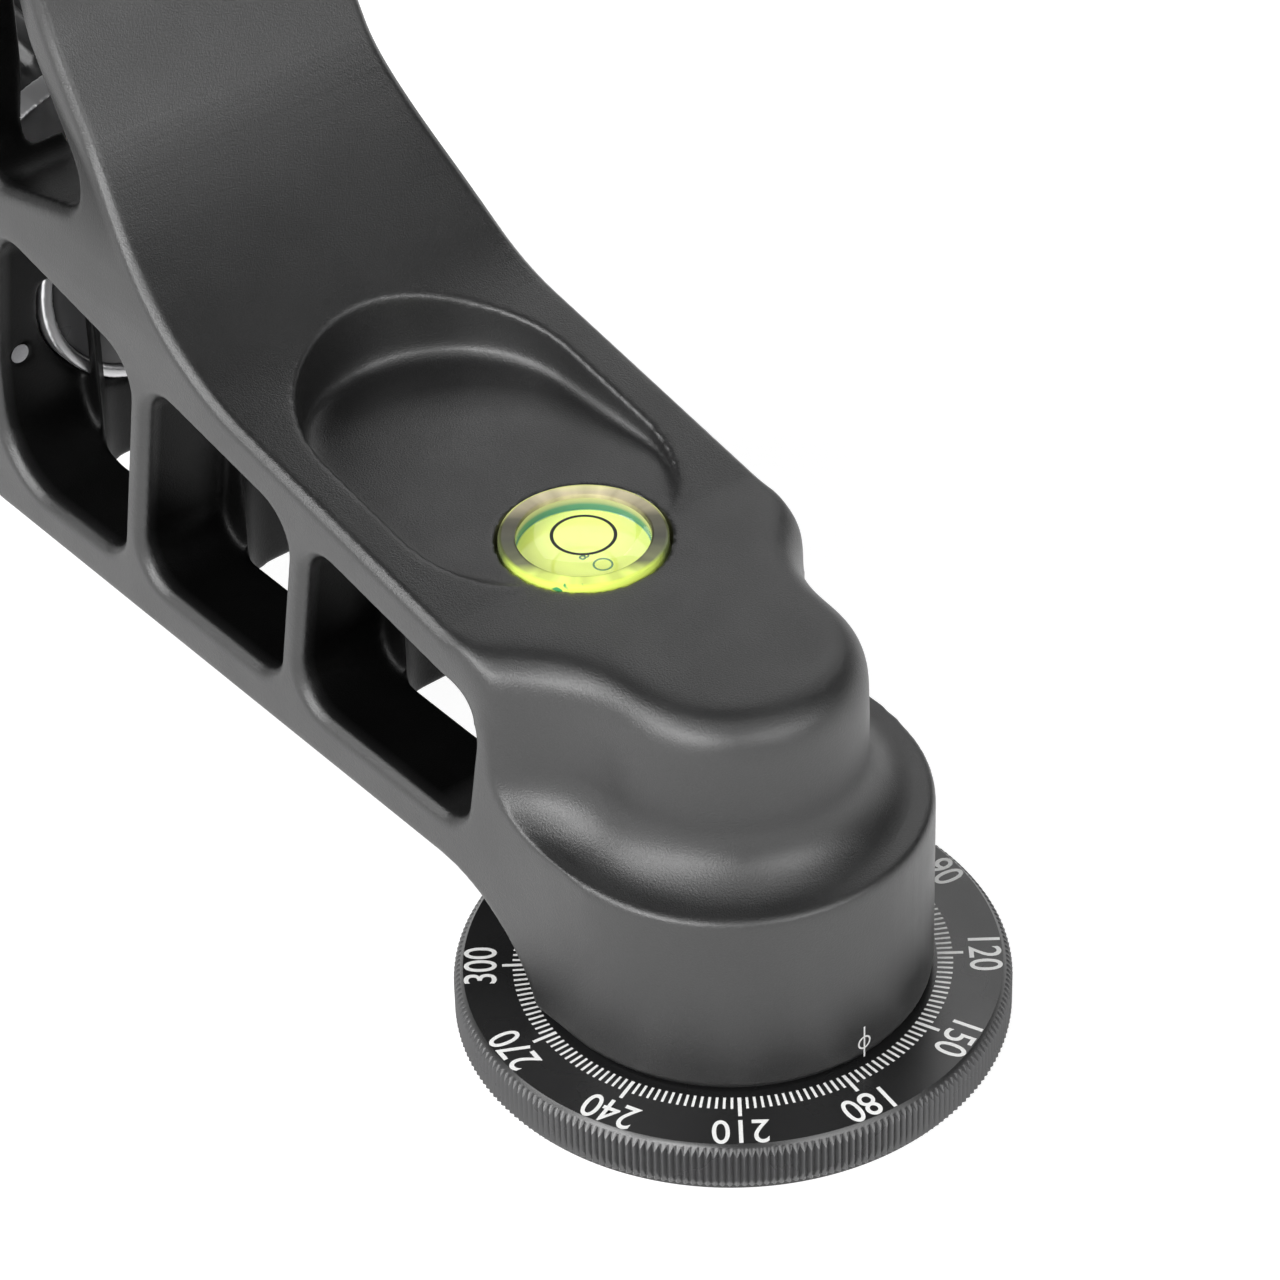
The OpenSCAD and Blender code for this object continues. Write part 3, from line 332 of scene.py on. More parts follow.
def from_level_middle(material):
    """The place on the level, from its axis, in level radii, and the way across it: -1 in front and 1 at the back."""
    low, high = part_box("level_cup")
    middle = (low + high) / 2
    size = (high[0] - low[0]) / 2
    links = material.node_tree.links
    place = node(material, "ShaderNodeTexCoord")
    shifted = node(material, "ShaderNodeVectorMath", operation="SUBTRACT")
    shifted.inputs[1].default_value = (middle[0], middle[1], 0)
    flat = node(material, "ShaderNodeVectorMath", operation="MULTIPLY")
    flat.inputs[1].default_value = (1 / size, 1 / size, 0)
    radius = node(material, "ShaderNodeVectorMath", operation="LENGTH")
    across = node(material, "ShaderNodeVectorMath", operation="DOT_PRODUCT")
    across.inputs[1].default_value = RIM_PAINTED_LIGHT_WAY
    links.new(place.outputs["Object"], shifted.inputs[0])
    links.new(shifted.outputs["Vector"], flat.inputs[0])
    links.new(flat.outputs["Vector"], radius.inputs[0])
    links.new(flat.outputs["Vector"], across.inputs[0])
    return flat.outputs["Vector"], radius.outputs["Value"], across.outputs["Value"]


def tone_ramp(material, source, low, high, tones):
    """A colour ramp over a value between two limits; each tone is (share, colour)."""
    reach = node(material, "ShaderNodeMapRange")
    reach.inputs["From Min"].default_value = low
    reach.inputs["From Max"].default_value = high
    ramp = node(material, "ShaderNodeValToRGB")
    stops = ramp.color_ramp.elements
    for stop, (share, tone) in ((stops[0], tones[0]), (stops[1], tones[-1])):
        stop.position = share
        stop.color = (*tone, 1)
    for share, tone in tones[1:-1]:
        stops.new(share).color = (*tone, 1)
    material.node_tree.links.new(source, reach.inputs["Value"])
    material.node_tree.links.new(reach.outputs["Result"], ramp.inputs["Fac"])
    return ramp.outputs["Color"]


def mixed(material, factor, first, second, blend="MIX"):
    """Mixes two colours; a number or a socket may be the factor."""
    mix = node(material, "ShaderNodeMix", data_type="RGBA", blend_type=blend)
    for name, value in (("Factor", factor), ("A", first), ("B", second)):
        socket = next(i for i in mix.inputs if i.name == name and i.type == ("VALUE" if name == "Factor" else "RGBA"))
        if isinstance(value, bpy.types.NodeSocket):
            material.node_tree.links.new(value, socket)
        else:
            socket.default_value = value
    return next(o for o in mix.outputs if o.type == "RGBA")


def rim_material():
    """The level's thick clear rim, drawn opaque with painted refraction and reflection: the fluid's colour in front,
    dark at the sides, grey-brown and pale at the back, streaked, with a paler outer edge and a faint painted glow.
    """
    material, shader = new_material("level_rim")
    flat, radius, across = from_level_middle(material)
    grain(material, shader, 900.0, 0.0000008, 0.02, 0.10)
    # Painted refraction and reflection: tones across the level, yellow in front, dark at the sides, pale at the back
    body = tone_ramp(material, across, -1, 1, (
        (0.0, (0.72, 0.84, 0.16)), (0.14, (0.66, 0.78, 0.16)), (0.24, (0.14, 0.15, 0.07)),
        (0.46, (0.045, 0.045, 0.03)), (0.66, (0.07, 0.065, 0.04)), (0.78, (0.34, 0.30, 0.19)),
        (0.90, (0.52, 0.46, 0.29)), (1.0, (0.74, 0.74, 0.30))))
    edge = tone_ramp(material, across, -1, 1, (
        (0.0, (0.70, 0.84, 0.14)), (0.20, (0.56, 0.70, 0.12)), (0.34, (0.12, 0.15, 0.05)), (0.60, (0.10, 0.11, 0.05)),
        (0.74, (0.74, 0.78, 0.28)), (1.0, (0.84, 0.92, 0.28))))
    outward = tone_ramp(material, radius, 0.92, 0.96, ((0.0, (0, 0, 0)), (1.0, (1, 1, 1))))
    away = node(material, "ShaderNodeVectorMath", operation="NORMALIZE")
    streaks = node(material, "ShaderNodeTexNoise", Scale=3.0, Detail=2.0, Roughness=0.5)
    material.node_tree.links.new(flat, away.inputs[0])
    material.node_tree.links.new(away.outputs["Vector"], streaks.inputs["Vector"])
    # Painted streaks of reflection, dark and pale, running out from the axis
    painted_streaks = tone_ramp(material, streaks.outputs["Fac"], 0.35, 0.65, (
        (0.0, (0.75, 0.75, 0.75)), (1.0, (1.2, 1.2, 1.2))))
    colour = mixed(material, outward, mixed(material, 1.0, body, painted_streaks, "MULTIPLY"), edge)
    blots = node(material, "ShaderNodeTexNoise", Scale=700.0, Detail=1.0, Roughness=0.5)
    place = node(material, "ShaderNodeTexCoord")
    material.node_tree.links.new(place.outputs["Object"], blots.inputs["Vector"])
    flecks = tone_ramp(material, blots.outputs["Fac"], 0.62, 0.67, ((0.0, (0, 0, 0)), (1.0, (1, 1, 1))))
    front = tone_ramp(material, across, -1, -0.85, ((0.0, (1, 1, 1)), (0.6, (1, 1, 1)), (1.0, (0, 0, 0))))
    colour = mixed(material, mixed(material, 1.0, flecks, front, "MULTIPLY"), colour, (0.06, 0.32, 0.12, 1))
    material.node_tree.links.new(colour, shader.inputs["Base Color"])
    material.node_tree.links.new(colour, shader.inputs["Emission Color"])
    # A painted glow: the rim's colour is also emitted
    shader.inputs["Emission Strength"].default_value = 0.12
    shader.inputs["Specular IOR Level"].default_value = 0.15
    shader.inputs["Coat Weight"].default_value = 0.15
    shader.inputs["Coat Roughness"].default_value = 0.04
    return material


def fluid_material():
    """Yellow-green fluid in its dish, with painted shade on the dish's wall, teal and darker towards the bottom, and
    a faint painted glow.
    """
    material, shader = new_material("level_fluid")
    broad = grain(material, shader, 900.0, 0.0000005, 0.02, 0.12)[1]
    tinted(material, shader, broad, (0.82, 0.94, 0.20), (0.85, 0.97, 0.24))
    bright = shader.inputs["Base Color"].links[0].from_socket
    radius = from_level_middle(material)[1]
    low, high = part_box("level_cup")
    inner = (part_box("level_fluid")[1][0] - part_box("level_fluid")[0][0]) / (high[0] - low[0])
    wall = DISH_WALL * 2 * MM / (high[0] - low[0])
    # Painted shade on the dish's wall: teal, darker towards the bottom
    painted_wall_shade = tone_ramp(material, radius, inner - wall * 1.7, inner, (
        (0.0, (0, 0, 0)), (0.3, (1, 1, 1)), (0.55, (1, 1, 1)), (0.6, (0, 0, 0))))
    place = node(material, "ShaderNodeTexCoord")
    split = node(material, "ShaderNodeSeparateXYZ")
    material.node_tree.links.new(place.outputs["Object"], split.inputs["Vector"])
    tones = tone_ramp(material, split.outputs["Z"], high[2] - DISH_DEPTH * MM, high[2] - 0.2 * MM, (
        (0.0, (0.05, 0.22, 0.16)), (0.6, (0.09, 0.26, 0.18)), (0.78, (0.36, 0.40, 0.22)), (1.0, (0.50, 0.50, 0.26))))
    colour = mixed(material, painted_wall_shade, bright, tones)
    material.node_tree.links.new(colour, shader.inputs["Base Color"])
    material.node_tree.links.new(colour, shader.inputs["Emission Color"])
    # A painted glow: the fluid's colour is also emitted
    shader.inputs["Emission Strength"].default_value = 0.13
    return material


# Mesh helpers

def finish_mesh(name, mesh, material, smooth_angle=40.0):
    """Makes an object of a bmesh, smooth apart from its sharp edges."""
    data = bpy.data.meshes.new(name)
    mesh.to_mesh(data)
    mesh.free()
    data.materials.append(material)
    obj = bpy.data.objects.new(name, data)
    bpy.context.scene.collection.objects.link(obj)
    shade(obj, smooth_angle)
    return obj


def shade(obj, smooth_angle):
    """Smooth shading across edges that bend less than the angle."""
    for polygon in obj.data.polygons:
        polygon.use_smooth = True
    obj.data.set_sharp_from_angle(angle=math.radians(smooth_angle))


def apply_modifiers(obj):
    """Bakes an object's modifiers into its mesh."""
    graph = bpy.context.evaluated_depsgraph_get()
    mesh = bpy.data.meshes.new_from_object(obj.evaluated_get(graph))
    obj.modifiers.clear()
    obj.data = mesh


def remeshed(obj, voxel, passes, keep, weights=None, bend=None):
    """Rounds every edge of a closed mesh: an even remesh, smoothing passes, a bend where one is given, then fewer
    faces."""
    remesh = obj.modifiers.new("even", "REMESH")
    remesh.mode = "VOXEL"
    remesh.voxel_size = voxel * MM
    apply_modifiers(obj)
    for group, rounds in [("", passes)] if weights is None else weights(obj, passes):
        smooth = obj.modifiers.new("smooth", "SMOOTH")
        smooth.factor = 0.5
        smooth.iterations = rounds
        smooth.vertex_group = group
    if bend is not None:
        apply_modifiers(obj)
        bend(obj)
    if keep < 1:
        fewer = obj.modifiers.new("fewer", "DECIMATE")
        fewer.ratio = keep
    apply_modifiers(obj)
    shade(obj, 50.0)


def stand_in(obj, node_name, body):
    """Says that a piece rides on a body and stands for a CAD node."""
    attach(obj, body)
    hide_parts(node_name)


def rounded_node(name, voxel, passes, keep, material, body):
    """A CAD node's shape with its edges rounded by about two thirds of voxel times the root of passes."""
    mesh = bmesh.new()
    mesh.from_mesh(frame["nodes"][name].data)
    bmesh.ops.remove_doubles(mesh, verts=mesh.verts, dist=MERGE_DISTANCE)
    obj = finish_mesh(name + "_finished", mesh, material)
    remeshed(obj, voxel, passes, keep)
    stand_in(obj, name, body)


def lathe(name, rings, grooves, material, smooth_angle=30.0, matrix=None):
    """A closed form of rings about Z. Each ring is (radius, height, depth of its grooves, rise in its grooves), and
    grooves gives how deep each of its points lies in them, from 0 to 1."""
    mesh = bmesh.new()
    count = len(grooves)
    rows = []
    for ring in rings:
        radius, height, depth, rise = (*ring, 0, 0)[:4]
        row = []
        for i, groove in enumerate(grooves):
            turn = 2 * math.pi * i / count
            reach = (radius - depth * groove) * MM
            point = (reach * math.cos(turn), reach * math.sin(turn), (height + rise * groove) * MM)
            row.append(mesh.verts.new(point))
        rows.append(row)
    for low, high in zip(rows, rows[1:] + rows[:1]):
        for i in range(count):
            after = (i + 1) % count
            mesh.faces.new((low[i], low[after], high[after], high[i]))
    bmesh.ops.recalc_face_normals(mesh, faces=mesh.faces)
    if matrix is not None:
        bmesh.ops.transform(mesh, matrix=matrix, verts=mesh.verts)
    return finish_mesh(name, mesh, material, smooth_angle)


def join_into(mesh, other, matrix):
    """Adds a mesh, moved by a matrix, to a bmesh."""
    copy = other.copy()
    copy.transform(matrix)
    mesh.from_mesh(copy)
    bpy.data.meshes.remove(copy)


def box_into(mesh, size, matrix):
    """Adds a box of the given size, moved by a matrix, to a bmesh."""
    made = bmesh.ops.create_cube(mesh, size=1.0)
    bmesh.ops.transform(mesh, matrix=matrix @ Matrix.Diagonal((*size, 1)), verts=made["verts"])


# The dial

HUB_RADIUS = 14.0
HUB_TOP = 10.0
BORE_RADIUS = 7.01
SCREW_RING = 10.3
SCREW_HEAD_RADIUS = 2.8
SCREW_HEAD_HEIGHT = 1.6


def pan_base(material):
    """The base with its cut grip band and its screw seats."""
    depth = GRIP_DEPTH
    slope = (DIAL_FACE - GRIP_HIGH) / (GRIP_RADIUS - DIAL_RIM)
    rings = [
        (BORE_RADIUS, 0), (DIAL_RIM - 0.3, 0), (DIAL_RIM, 0.3), (DIAL_RIM, GRIP_LOW),
        (GRIP_RADIUS - 0.25, GRIP_LOW, depth - 0.15), (GRIP_RADIUS, GRIP_LOW + 0.25, depth),
        (GRIP_RADIUS, GRIP_HIGH, depth, depth * slope),
        (DIAL_RIM + 0.1, DIAL_FACE - 0.45), (DIAL_RIM, DIAL_FACE - 0.3), (DIAL_RIM - 0.3, DIAL_FACE),
        (HUB_RADIUS, DIAL_FACE), (HUB_RADIUS, HUB_TOP), (BORE_RADIUS, HUB_TOP),
    ]
    obj = lathe("dial_base", rings, [0, 0.5, 1, 0.5] * GRIP_TEETH, material)
    cutter_mesh = bmesh.new()
    for i in range(4):
        turn = math.radians(45 + 90 * i)
        place = Vector((SCREW_RING * math.cos(turn), SCREW_RING * math.sin(turn), 0)) * MM
        bmesh.ops.create_cone(cutter_mesh, cap_ends=True, segments=48, radius1=SCREW_HEAD_RADIUS * MM,
                              radius2=SCREW_HEAD_RADIUS * MM, depth=2 * SCREW_HEAD_HEIGHT * MM,
                              matrix=Matrix.Translation(place))
    cutter = finish_mesh("cutter", cutter_mesh, material)
    cut = obj.modifiers.new("seats", "BOOLEAN")
    cut.object = cutter
    cut.solver = "EXACT"
    apply_modifiers(obj)
    shade(obj, 30.0)
    bpy.data.objects.remove(cutter)
    stand_in(obj, "pan_base", "base")


NUMBER_SQUEEZE = 0.83
NUMBER_BOLD = 0.004
DIGIT_RISE = 0.695


def number_mesh(text):
    """A number as a flat plate of print, centred on its own middle."""
    curve = bpy.data.curves.new("number", "FONT")
    curve.body = text
    curve.size = NUMBER_HEIGHT / DIGIT_RISE * MM
    curve.align_x = "CENTER"
    curve.offset = NUMBER_BOLD * curve.size
    curve.extrude = PRINT_THICKNESS * MM / 2
    obj = bpy.data.objects.new("number", curve)
    bpy.context.scene.collection.objects.link(obj)
    bpy.context.view_layer.update()
    graph = bpy.context.evaluated_depsgraph_get()
    mesh = bpy.data.meshes.new_from_object(obj.evaluated_get(graph))
    bpy.data.objects.remove(obj)
    middle = Matrix.Translation((0, -NUMBER_HEIGHT / 2 * MM, 0))
    mesh.transform(Matrix.Diagonal((NUMBER_SQUEEZE, 1, 1, 1)) @ middle)
    return mesh


def dial_marks(material):
    """The white marks and numbers on the dial's face."""
    mesh = bmesh.new()
    level = (DIAL_FACE + PRINT_THICKNESS / 2) * MM
    for mark in range(0, 360, TICK_STEP):
        long = mark % NUMBER_STEP == 0
        outer = LONG_TICK_OUTER if long else TICK_OUTER
        width = LONG_TICK_WIDTH if long else TICK_WIDTH
        facing = Matrix.Rotation(math.radians(DIAL_ZERO - mark), 4, "Z")
        middle = Matrix.Translation((0, -(TICK_INNER + outer) / 2 * MM, level))
        box_into(mesh, (width * MM, (outer - TICK_INNER) * MM, PRINT_THICKNESS * MM), facing @ middle)
        if long:
            place = Matrix.Translation((0, -NUMBER_RADIUS * MM, level)) @ Matrix.Rotation(math.pi, 4, "Z")
            join_into(mesh, number_mesh(str(mark)), facing @ place)
    obj = finish_mesh("dial_marks", mesh, material)
    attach(obj, "base")


INDEX_LOW = 7.45
INDEX_HIGH = 11.9
INDEX_RING_Z = 9.6
INDEX_RING_RADIUS = 0.8
INDEX_LINE = 0.22
HOUSING_RADIUS = 23.0


def index_mark(material):
    """The line and ring on the front of the housing, bent round it."""
    mesh = bmesh.new()
    steps = 8
    for i in range(steps):
        low = INDEX_LOW + (INDEX_HIGH - INDEX_LOW) * i / steps
        high = INDEX_LOW + (INDEX_HIGH - INDEX_LOW) * (i + 1) / steps
        box_into(mesh, (INDEX_LINE * MM, PRINT_THICKNESS * MM, (high - low) * MM),
                 Matrix.Translation((0, 0, (low + high) / 2 * MM)))
    count = 40
    for i in range(count):
        turn = 2 * math.pi * (i + 0.5) / count
        length = 2 * math.pi * INDEX_RING_RADIUS / count * 1.1
        place = Matrix.Translation((INDEX_RING_RADIUS * math.cos(turn) * MM, 0,
                                    (INDEX_RING_Z + INDEX_RING_RADIUS * math.sin(turn)) * MM))
        box_into(mesh, (INDEX_LINE * MM, PRINT_THICKNESS * MM, length * MM),
                 place @ Matrix.Rotation(-turn, 4, "Y"))
    for vert in mesh.verts:
        radius = HOUSING_RADIUS * MM - vert.co.y
        turn = vert.co.x / (HOUSING_RADIUS * MM)
        vert.co.x = radius * math.sin(turn)
        vert.co.y = -radius * math.cos(turn)
    obj = finish_mesh("index_mark", mesh, material)
    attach(obj, "arm")


# The arm

CHAMFER = 1.0
ARM_VOXEL = 0.4
ARM_PASSES = 22
ARM_KEEP = 0.22
CHAMFER_SHARE = 0.12
SIDE_EDGE_SHARE = 0.3
LEVEL_EDGE_SHARE = 0.2
LEVEL_REACH = 12.5
PLATEAU = 52.43
NOSE_PASSES = 130
NOSE_LOW = 43.0
NOSE_BACK = 22.0
POCKET_PASSES = 110
POCKET_EDGE_SHARE = 0.35
RAMP_FRONT = 22.0
RAMP_SLOPE = 0.1817
POCKET_HALF = 17.3
POCKET_FRONT = 36.0
POCKET_BACK = 50.0

# The upright's waist: how far its sides and its front face draw in, and the heights and depths where that happens
WAIST_SIDE = 2.7
WAIST_FRONT = 5.0
WAIST_LOW = (62.0, 82.0)
WAIST_HIGH = (195.0, 150.0)
WAIST_DEPTH = (110.0, 95.0)


def side_loops(mesh, side):
    """The closed edges of the arm's side face: lists of (vertex, direction into the metal)."""
    reach = HOUSING_RADIUS * MM
    around = {}
    for edge in mesh.edges:
        if len(edge.link_faces) != 2 or any(abs(v.co.x - side * reach) > 0.00001 for v in edge.verts):
            continue
        flat = [face for face in edge.link_faces if face.normal.x * side > 0.99]
        walls = [face for face in edge.link_faces if abs(face.normal.x) < 0.3]
        if len(flat) == 1 and len(walls) == 1:
            for vert, other in (edge.verts, reversed(edge.verts)):
                around.setdefault(vert, []).append((other, -walls[0].normal))
    loops = []
    unused = set(around)
    while unused:
        vert = min(unused, key=lambda v: v.index)
        loop = []
        while vert in unused:
            unused.discard(vert)
            normals = [normal for other, normal in around[vert]]
            middle = sum(normals, Vector()).normalized()
            loop.append((vert.co.copy(), middle / max(0.5, middle.dot(normals[0]))))
            onward = [other for other, normal in around[vert] if other in unused]
            if onward:
                vert = onward[0]
        loops.append(loop)
    return loops


def window_loops(mesh):
    """The edges of the side windows, which are all but the longest loop of each side."""
    found = []
    for side in (-1, 1):
        loops = [loop for loop in side_loops(mesh, side) if len(loop) > 8]
        loops.sort(key=lambda loop: max(point.z for point, inward in loop) - min(point.z for point, inward in loop))
        found += [(side, loop) for loop in loops[:-1]]
    return found


def chamfer_cutter(loops, material):
    """Solids that cut a flat chamfer along the windows' edges."""
    mesh = bmesh.new()
    for side, loop in loops:
        rings = []
        for depth in (-0.6, CHAMFER + 0.3):
            grow = (CHAMFER - depth) * MM
            rings.append([mesh.verts.new((side * (HOUSING_RADIUS - depth) * MM, point.y + inward.y * grow,
                                          point.z + inward.z * grow)) for point, inward in loop])
        for i in range(len(loop)):
            after = (i + 1) % len(loop)
            mesh.faces.new((rings[0][i], rings[0][after], rings[1][after], rings[1][i]))
        mesh.faces.new(rings[0])
        mesh.faces.new(rings[1][::-1])
    bmesh.ops.recalc_face_normals(mesh, faces=mesh.faces)
    return finish_mesh("cutter", mesh, material)


def edge_tree(loops):
    """A search tree of points along the windows' edges."""
    points = []
    for side, loop in loops:
        for i, (point, inward) in enumerate(loop):
            after = loop[(i + 1) % len(loop)][0]
            steps = max(1, int((after - point).length / (0.5 * MM)))
            points += [point.lerp(after, k / steps) for k in range(steps)]
    tree = KDTree(len(points))
    for i, point in enumerate(points):
        tree.insert(point, i)
    tree.balance()
    return tree


def fade(values, start, end):
    """0 before start and 1 after end, even between them; start may lie above end."""
    return np.clip((values - start) / (end - start), 0, 1)


def arm_weights(loops):
    """Less smoothing at the side edges and the level's seat, more round the nose and on the pocket's floor edge."""
    tree = edge_tree(loops)

    def weights(obj, passes):
        """Makes the vertex groups and says how many passes each one gets."""
        count = len(obj.data.vertices)
        places = np.empty(count * 3)
        obj.data.vertices.foreach_get("co", places)
        places = places.reshape(-1, 3) / MM
        x, y, z = places.T
        side = fade(np.abs(x), HOUSING_RADIUS - 5, HOUSING_RADIUS - 3) * fade(y, 4, 14)
        share = 1 - (1 - SIDE_EDGE_SHARE) * side
        for i in np.nonzero(np.abs(x) > HOUSING_RADIUS - 3.5)[0]:
            gap = tree.find(obj.data.vertices[i].co)[2] / MM
            share[i] = min(share[i], CHAMFER_SHARE + max(0.0, gap - 2.2) / 2)
        middle = (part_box("level_cup")[0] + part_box("level_cup")[1]) / 2 / MM
        near_level = (np.hypot(x - middle[0], y - middle[1]) < LEVEL_REACH) & (z > PLATEAU - 3)
        share[near_level] = LEVEL_EDGE_SHARE
        along = np.clip(y, POCKET_FRONT, POCKET_BACK)
        from_wall = np.abs(np.hypot(x, y - along) - POCKET_HALF)
        rise = (z - PLATEAU) / np.maximum(0.5, (y - RAMP_FRONT) * RAMP_SLOPE)
        top_edge = (from_wall < 2) & (rise > 0.6)
        share[top_edge] = np.minimum(share[top_edge], POCKET_EDGE_SHARE)
        pocket = fade(from_wall, 5, 3.5) * fade(rise, 0.7, 0.35) * fade(y, 34, 42) * (z > PLATEAU - 2)
        nose = fade(z, NOSE_LOW, NOSE_LOW + 2) * fade(y, NOSE_BACK, NOSE_BACK - 6)
        nose[near_level] = 0
        scale = passes / ARM_PASSES
        made = []
        for name, values, rounds in (("edges", share, passes), ("pocket", pocket, round(POCKET_PASSES * scale)),
                                     ("nose", nose, round(NOSE_PASSES * scale))):
            group = obj.vertex_groups.new(name=name)
            steps = np.round(values, 2)
            for weight in np.unique(steps[steps > 0]):
                group.add(np.nonzero(steps == weight)[0].tolist(), float(weight), "REPLACE")
            made.append((name, rounds))
        return made

    return weights


def draw_in_waist(obj):
    """Narrows the upright between the elbow and the tilt housing and draws its front face back."""
    data = obj.data
    places = np.empty(len(data.vertices) * 3)
    data.vertices.foreach_get("co", places)
    x, y, z = (places / MM).reshape(-1, 3).T
    low, high = fade(z, *WAIST_LOW), fade(z, *WAIST_HIGH)
    share = low ** 2 * (3 - 2 * low) * high ** 2 * (3 - 2 * high)
    drawn = WAIST_FRONT * share * fade(y, *WAIST_DEPTH)
    moved = np.stack([x * (1 - share * WAIST_SIDE / HOUSING_RADIUS), y + drawn, z])
    data.vertices.foreach_set("co", moved.T.ravel() * MM)
    data.update()


def main_arm(material):
    """The arm with chamfered windows and rounded edges."""
    mesh = bmesh.new()
    mesh.from_mesh(frame["nodes"]["main_arm"].data)
    bmesh.ops.remove_doubles(mesh, verts=mesh.verts, dist=MERGE_DISTANCE)
    mesh.verts.index_update()
    mesh.normal_update()
    loops = window_loops(mesh)
    cutter = chamfer_cutter(loops, material)
    obj = finish_mesh("arm_finished", mesh, material)
    cut = obj.modifiers.new("chamfers", "BOOLEAN")
    cut.object = cutter
    cut.solver = "EXACT"
    apply_modifiers(obj)
    bpy.data.objects.remove(cutter)
    coarse = 1
    remeshed(obj, ARM_VOXEL * coarse, round(ARM_PASSES / coarse ** 2), ARM_KEEP, arm_weights(loops), draw_in_waist)
    stand_in(obj, "main_arm", "arm")


# Knobs and caps

SEAT_DEPTH = 1.65


def along_joint(node_name, joint_name, outward):
    """A matrix from Z to a joint's axis, with its start on the node's inner end, and the node's length and radius."""
    joint = next(j for j in frame["record"]["behaviour"]["joints"] if j["name"] == joint_name)
    axis = (Vector(joint["axis"]) * outward).normalized()
    start = Vector(joint["pos_m"])
    reach = [((v.co - start).dot(axis), v.co) for v in frame["nodes"][node_name].data.vertices]
    low = min(step for step, point in reach)
    high = max(step for step, point in reach)
    radius = max((point - start - axis * step).length for step, point in reach)
    turn = Vector((0, 0, 1)).rotation_difference(axis).to_matrix().to_4x4()
    return Matrix.Translation(start + axis * low) @ turn, (high - low) / MM, radius / MM


def knob(name, node_name, joint_name, outward, flutes, depth, bore, seat, material, body):
    """A fluted knob with chamfered ends, a waist behind its grip and a turned step in its front face."""
    matrix, length, radius = along_joint(node_name, joint_name, outward)
    steps = 14
    grooves = [max(0.0, math.cos(2 * math.pi * (i % steps) / steps)) ** 1.5 for i in range(flutes * steps)]
    chamfer = 0.09 * radius
    rings = [
        (bore, 0), (radius * 0.74, 0), (radius * 0.78, 0.3), (radius * 0.80, length * 0.16),
        (radius - chamfer, length * 0.2, depth * 0.5), (radius - 0.2, length * 0.2 + chamfer * 0.8, depth),
        (radius, length * 0.2 + chamfer * 0.8 + 0.3, depth), (radius, length - chamfer - 0.3, depth),
        (radius - 0.25, length - chamfer, depth), (radius - chamfer, length - 0.15, depth * 0.45),
        (radius - chamfer - 0.3, length, depth * 0.3), (radius * 0.72, length), (radius * 0.70, length - 0.35),
        (radius * 0.66, length - 0.35), (radius * 0.64, length), (seat + 0.35, length), (seat, length - 0.3),
        (seat, length - SEAT_DEPTH), (bore, length - SEAT_DEPTH),
    ]
    obj = lathe(name, rings, grooves, material, 35.0, matrix)
    stand_in(obj, node_name, body)


def coin(name, node_name, joint_name, outward, material, body):
    """A turned cap with a chamfered edge and two fine grooves."""
    matrix, length, radius = along_joint(node_name, joint_name, outward)
    profile = [(0.0001, 0), (radius - 0.2, 0), (radius, 0.2), (radius, length - 0.35), (radius - 0.35, length)]
    for share in (0.78, 0.55):
        profile += [(radius * share + 0.25, length), (radius * share, length - 0.2), (radius * share - 0.25, length)]
    profile += [(0.0001, length)]
    obj = lathe(name, profile, [0] * 96, material, 25.0, matrix)
    stand_in(obj, node_name, body)


# The bullseye level

def torus_at(name, place, radius, tube, material, squash=1.0):
    """A ring lying flat round a point, in millimetres."""
    mesh = bmesh.new()
    around, across = 96, 12
    grid = []
    for i in range(around):
        turn = 2 * math.pi * i / around
        row = []
        for j in range(across):
            roll = 2 * math.pi * j / across
            reach = (radius + tube * math.cos(roll)) * MM
            row.append(mesh.verts.new((place[0] * MM + reach * math.cos(turn), place[1] * MM + reach * math.sin(turn),
                                       place[2] * MM + tube * squash * math.sin(roll) * MM)))
        grid.append(row)
    for i in range(around):
        for j in range(across):
            mesh.faces.new((grid[i][j], grid[(i + 1) % around][j], grid[(i + 1) % around][(j + 1) % across],
                            grid[i][(j + 1) % across]))
    bmesh.ops.recalc_face_normals(mesh, faces=mesh.faces)
    return finish_mesh(name, mesh, material, 60.0)


def ring_profile(name, place, points, material):
    """A closed ring turned about an upright axis, from (radius, height) points."""
    shift = Matrix.Translation((place[0] * MM, place[1] * MM, 0))
    return lathe(name, points, [0] * 128, material, 35.0, shift)


def disc_profile(name, place, points, material, count=96):
    """A closed form turned about an upright axis, from (radius, height) points that start and end on the axis."""
    mesh = bmesh.new()
    rows = []
    for radius, height in points:
        if radius == 0:
            rows.append([mesh.verts.new((place[0] * MM, place[1] * MM, height * MM))])
            continue
        row = []
        for i in range(count):
            turn = 2 * math.pi * i / count
            row.append(mesh.verts.new(((place[0] + radius * math.cos(turn)) * MM,
                                       (place[1] + radius * math.sin(turn)) * MM, height * MM)))
        rows.append(row)
    for low, high in zip(rows, rows[1:]):
        for i in range(count):
            after = (i + 1) % count
            corners = [low[i % len(low)], low[after % len(low)], high[after % len(high)], high[i % len(high)]]
            kept = []
            for corner in corners:
                if corner not in kept:
                    kept.append(corner)
            if len(kept) > 2:
                mesh.faces.new(kept)
    bmesh.ops.recalc_face_normals(mesh, faces=mesh.faces)
    return finish_mesh(name, mesh, material, 35.0)


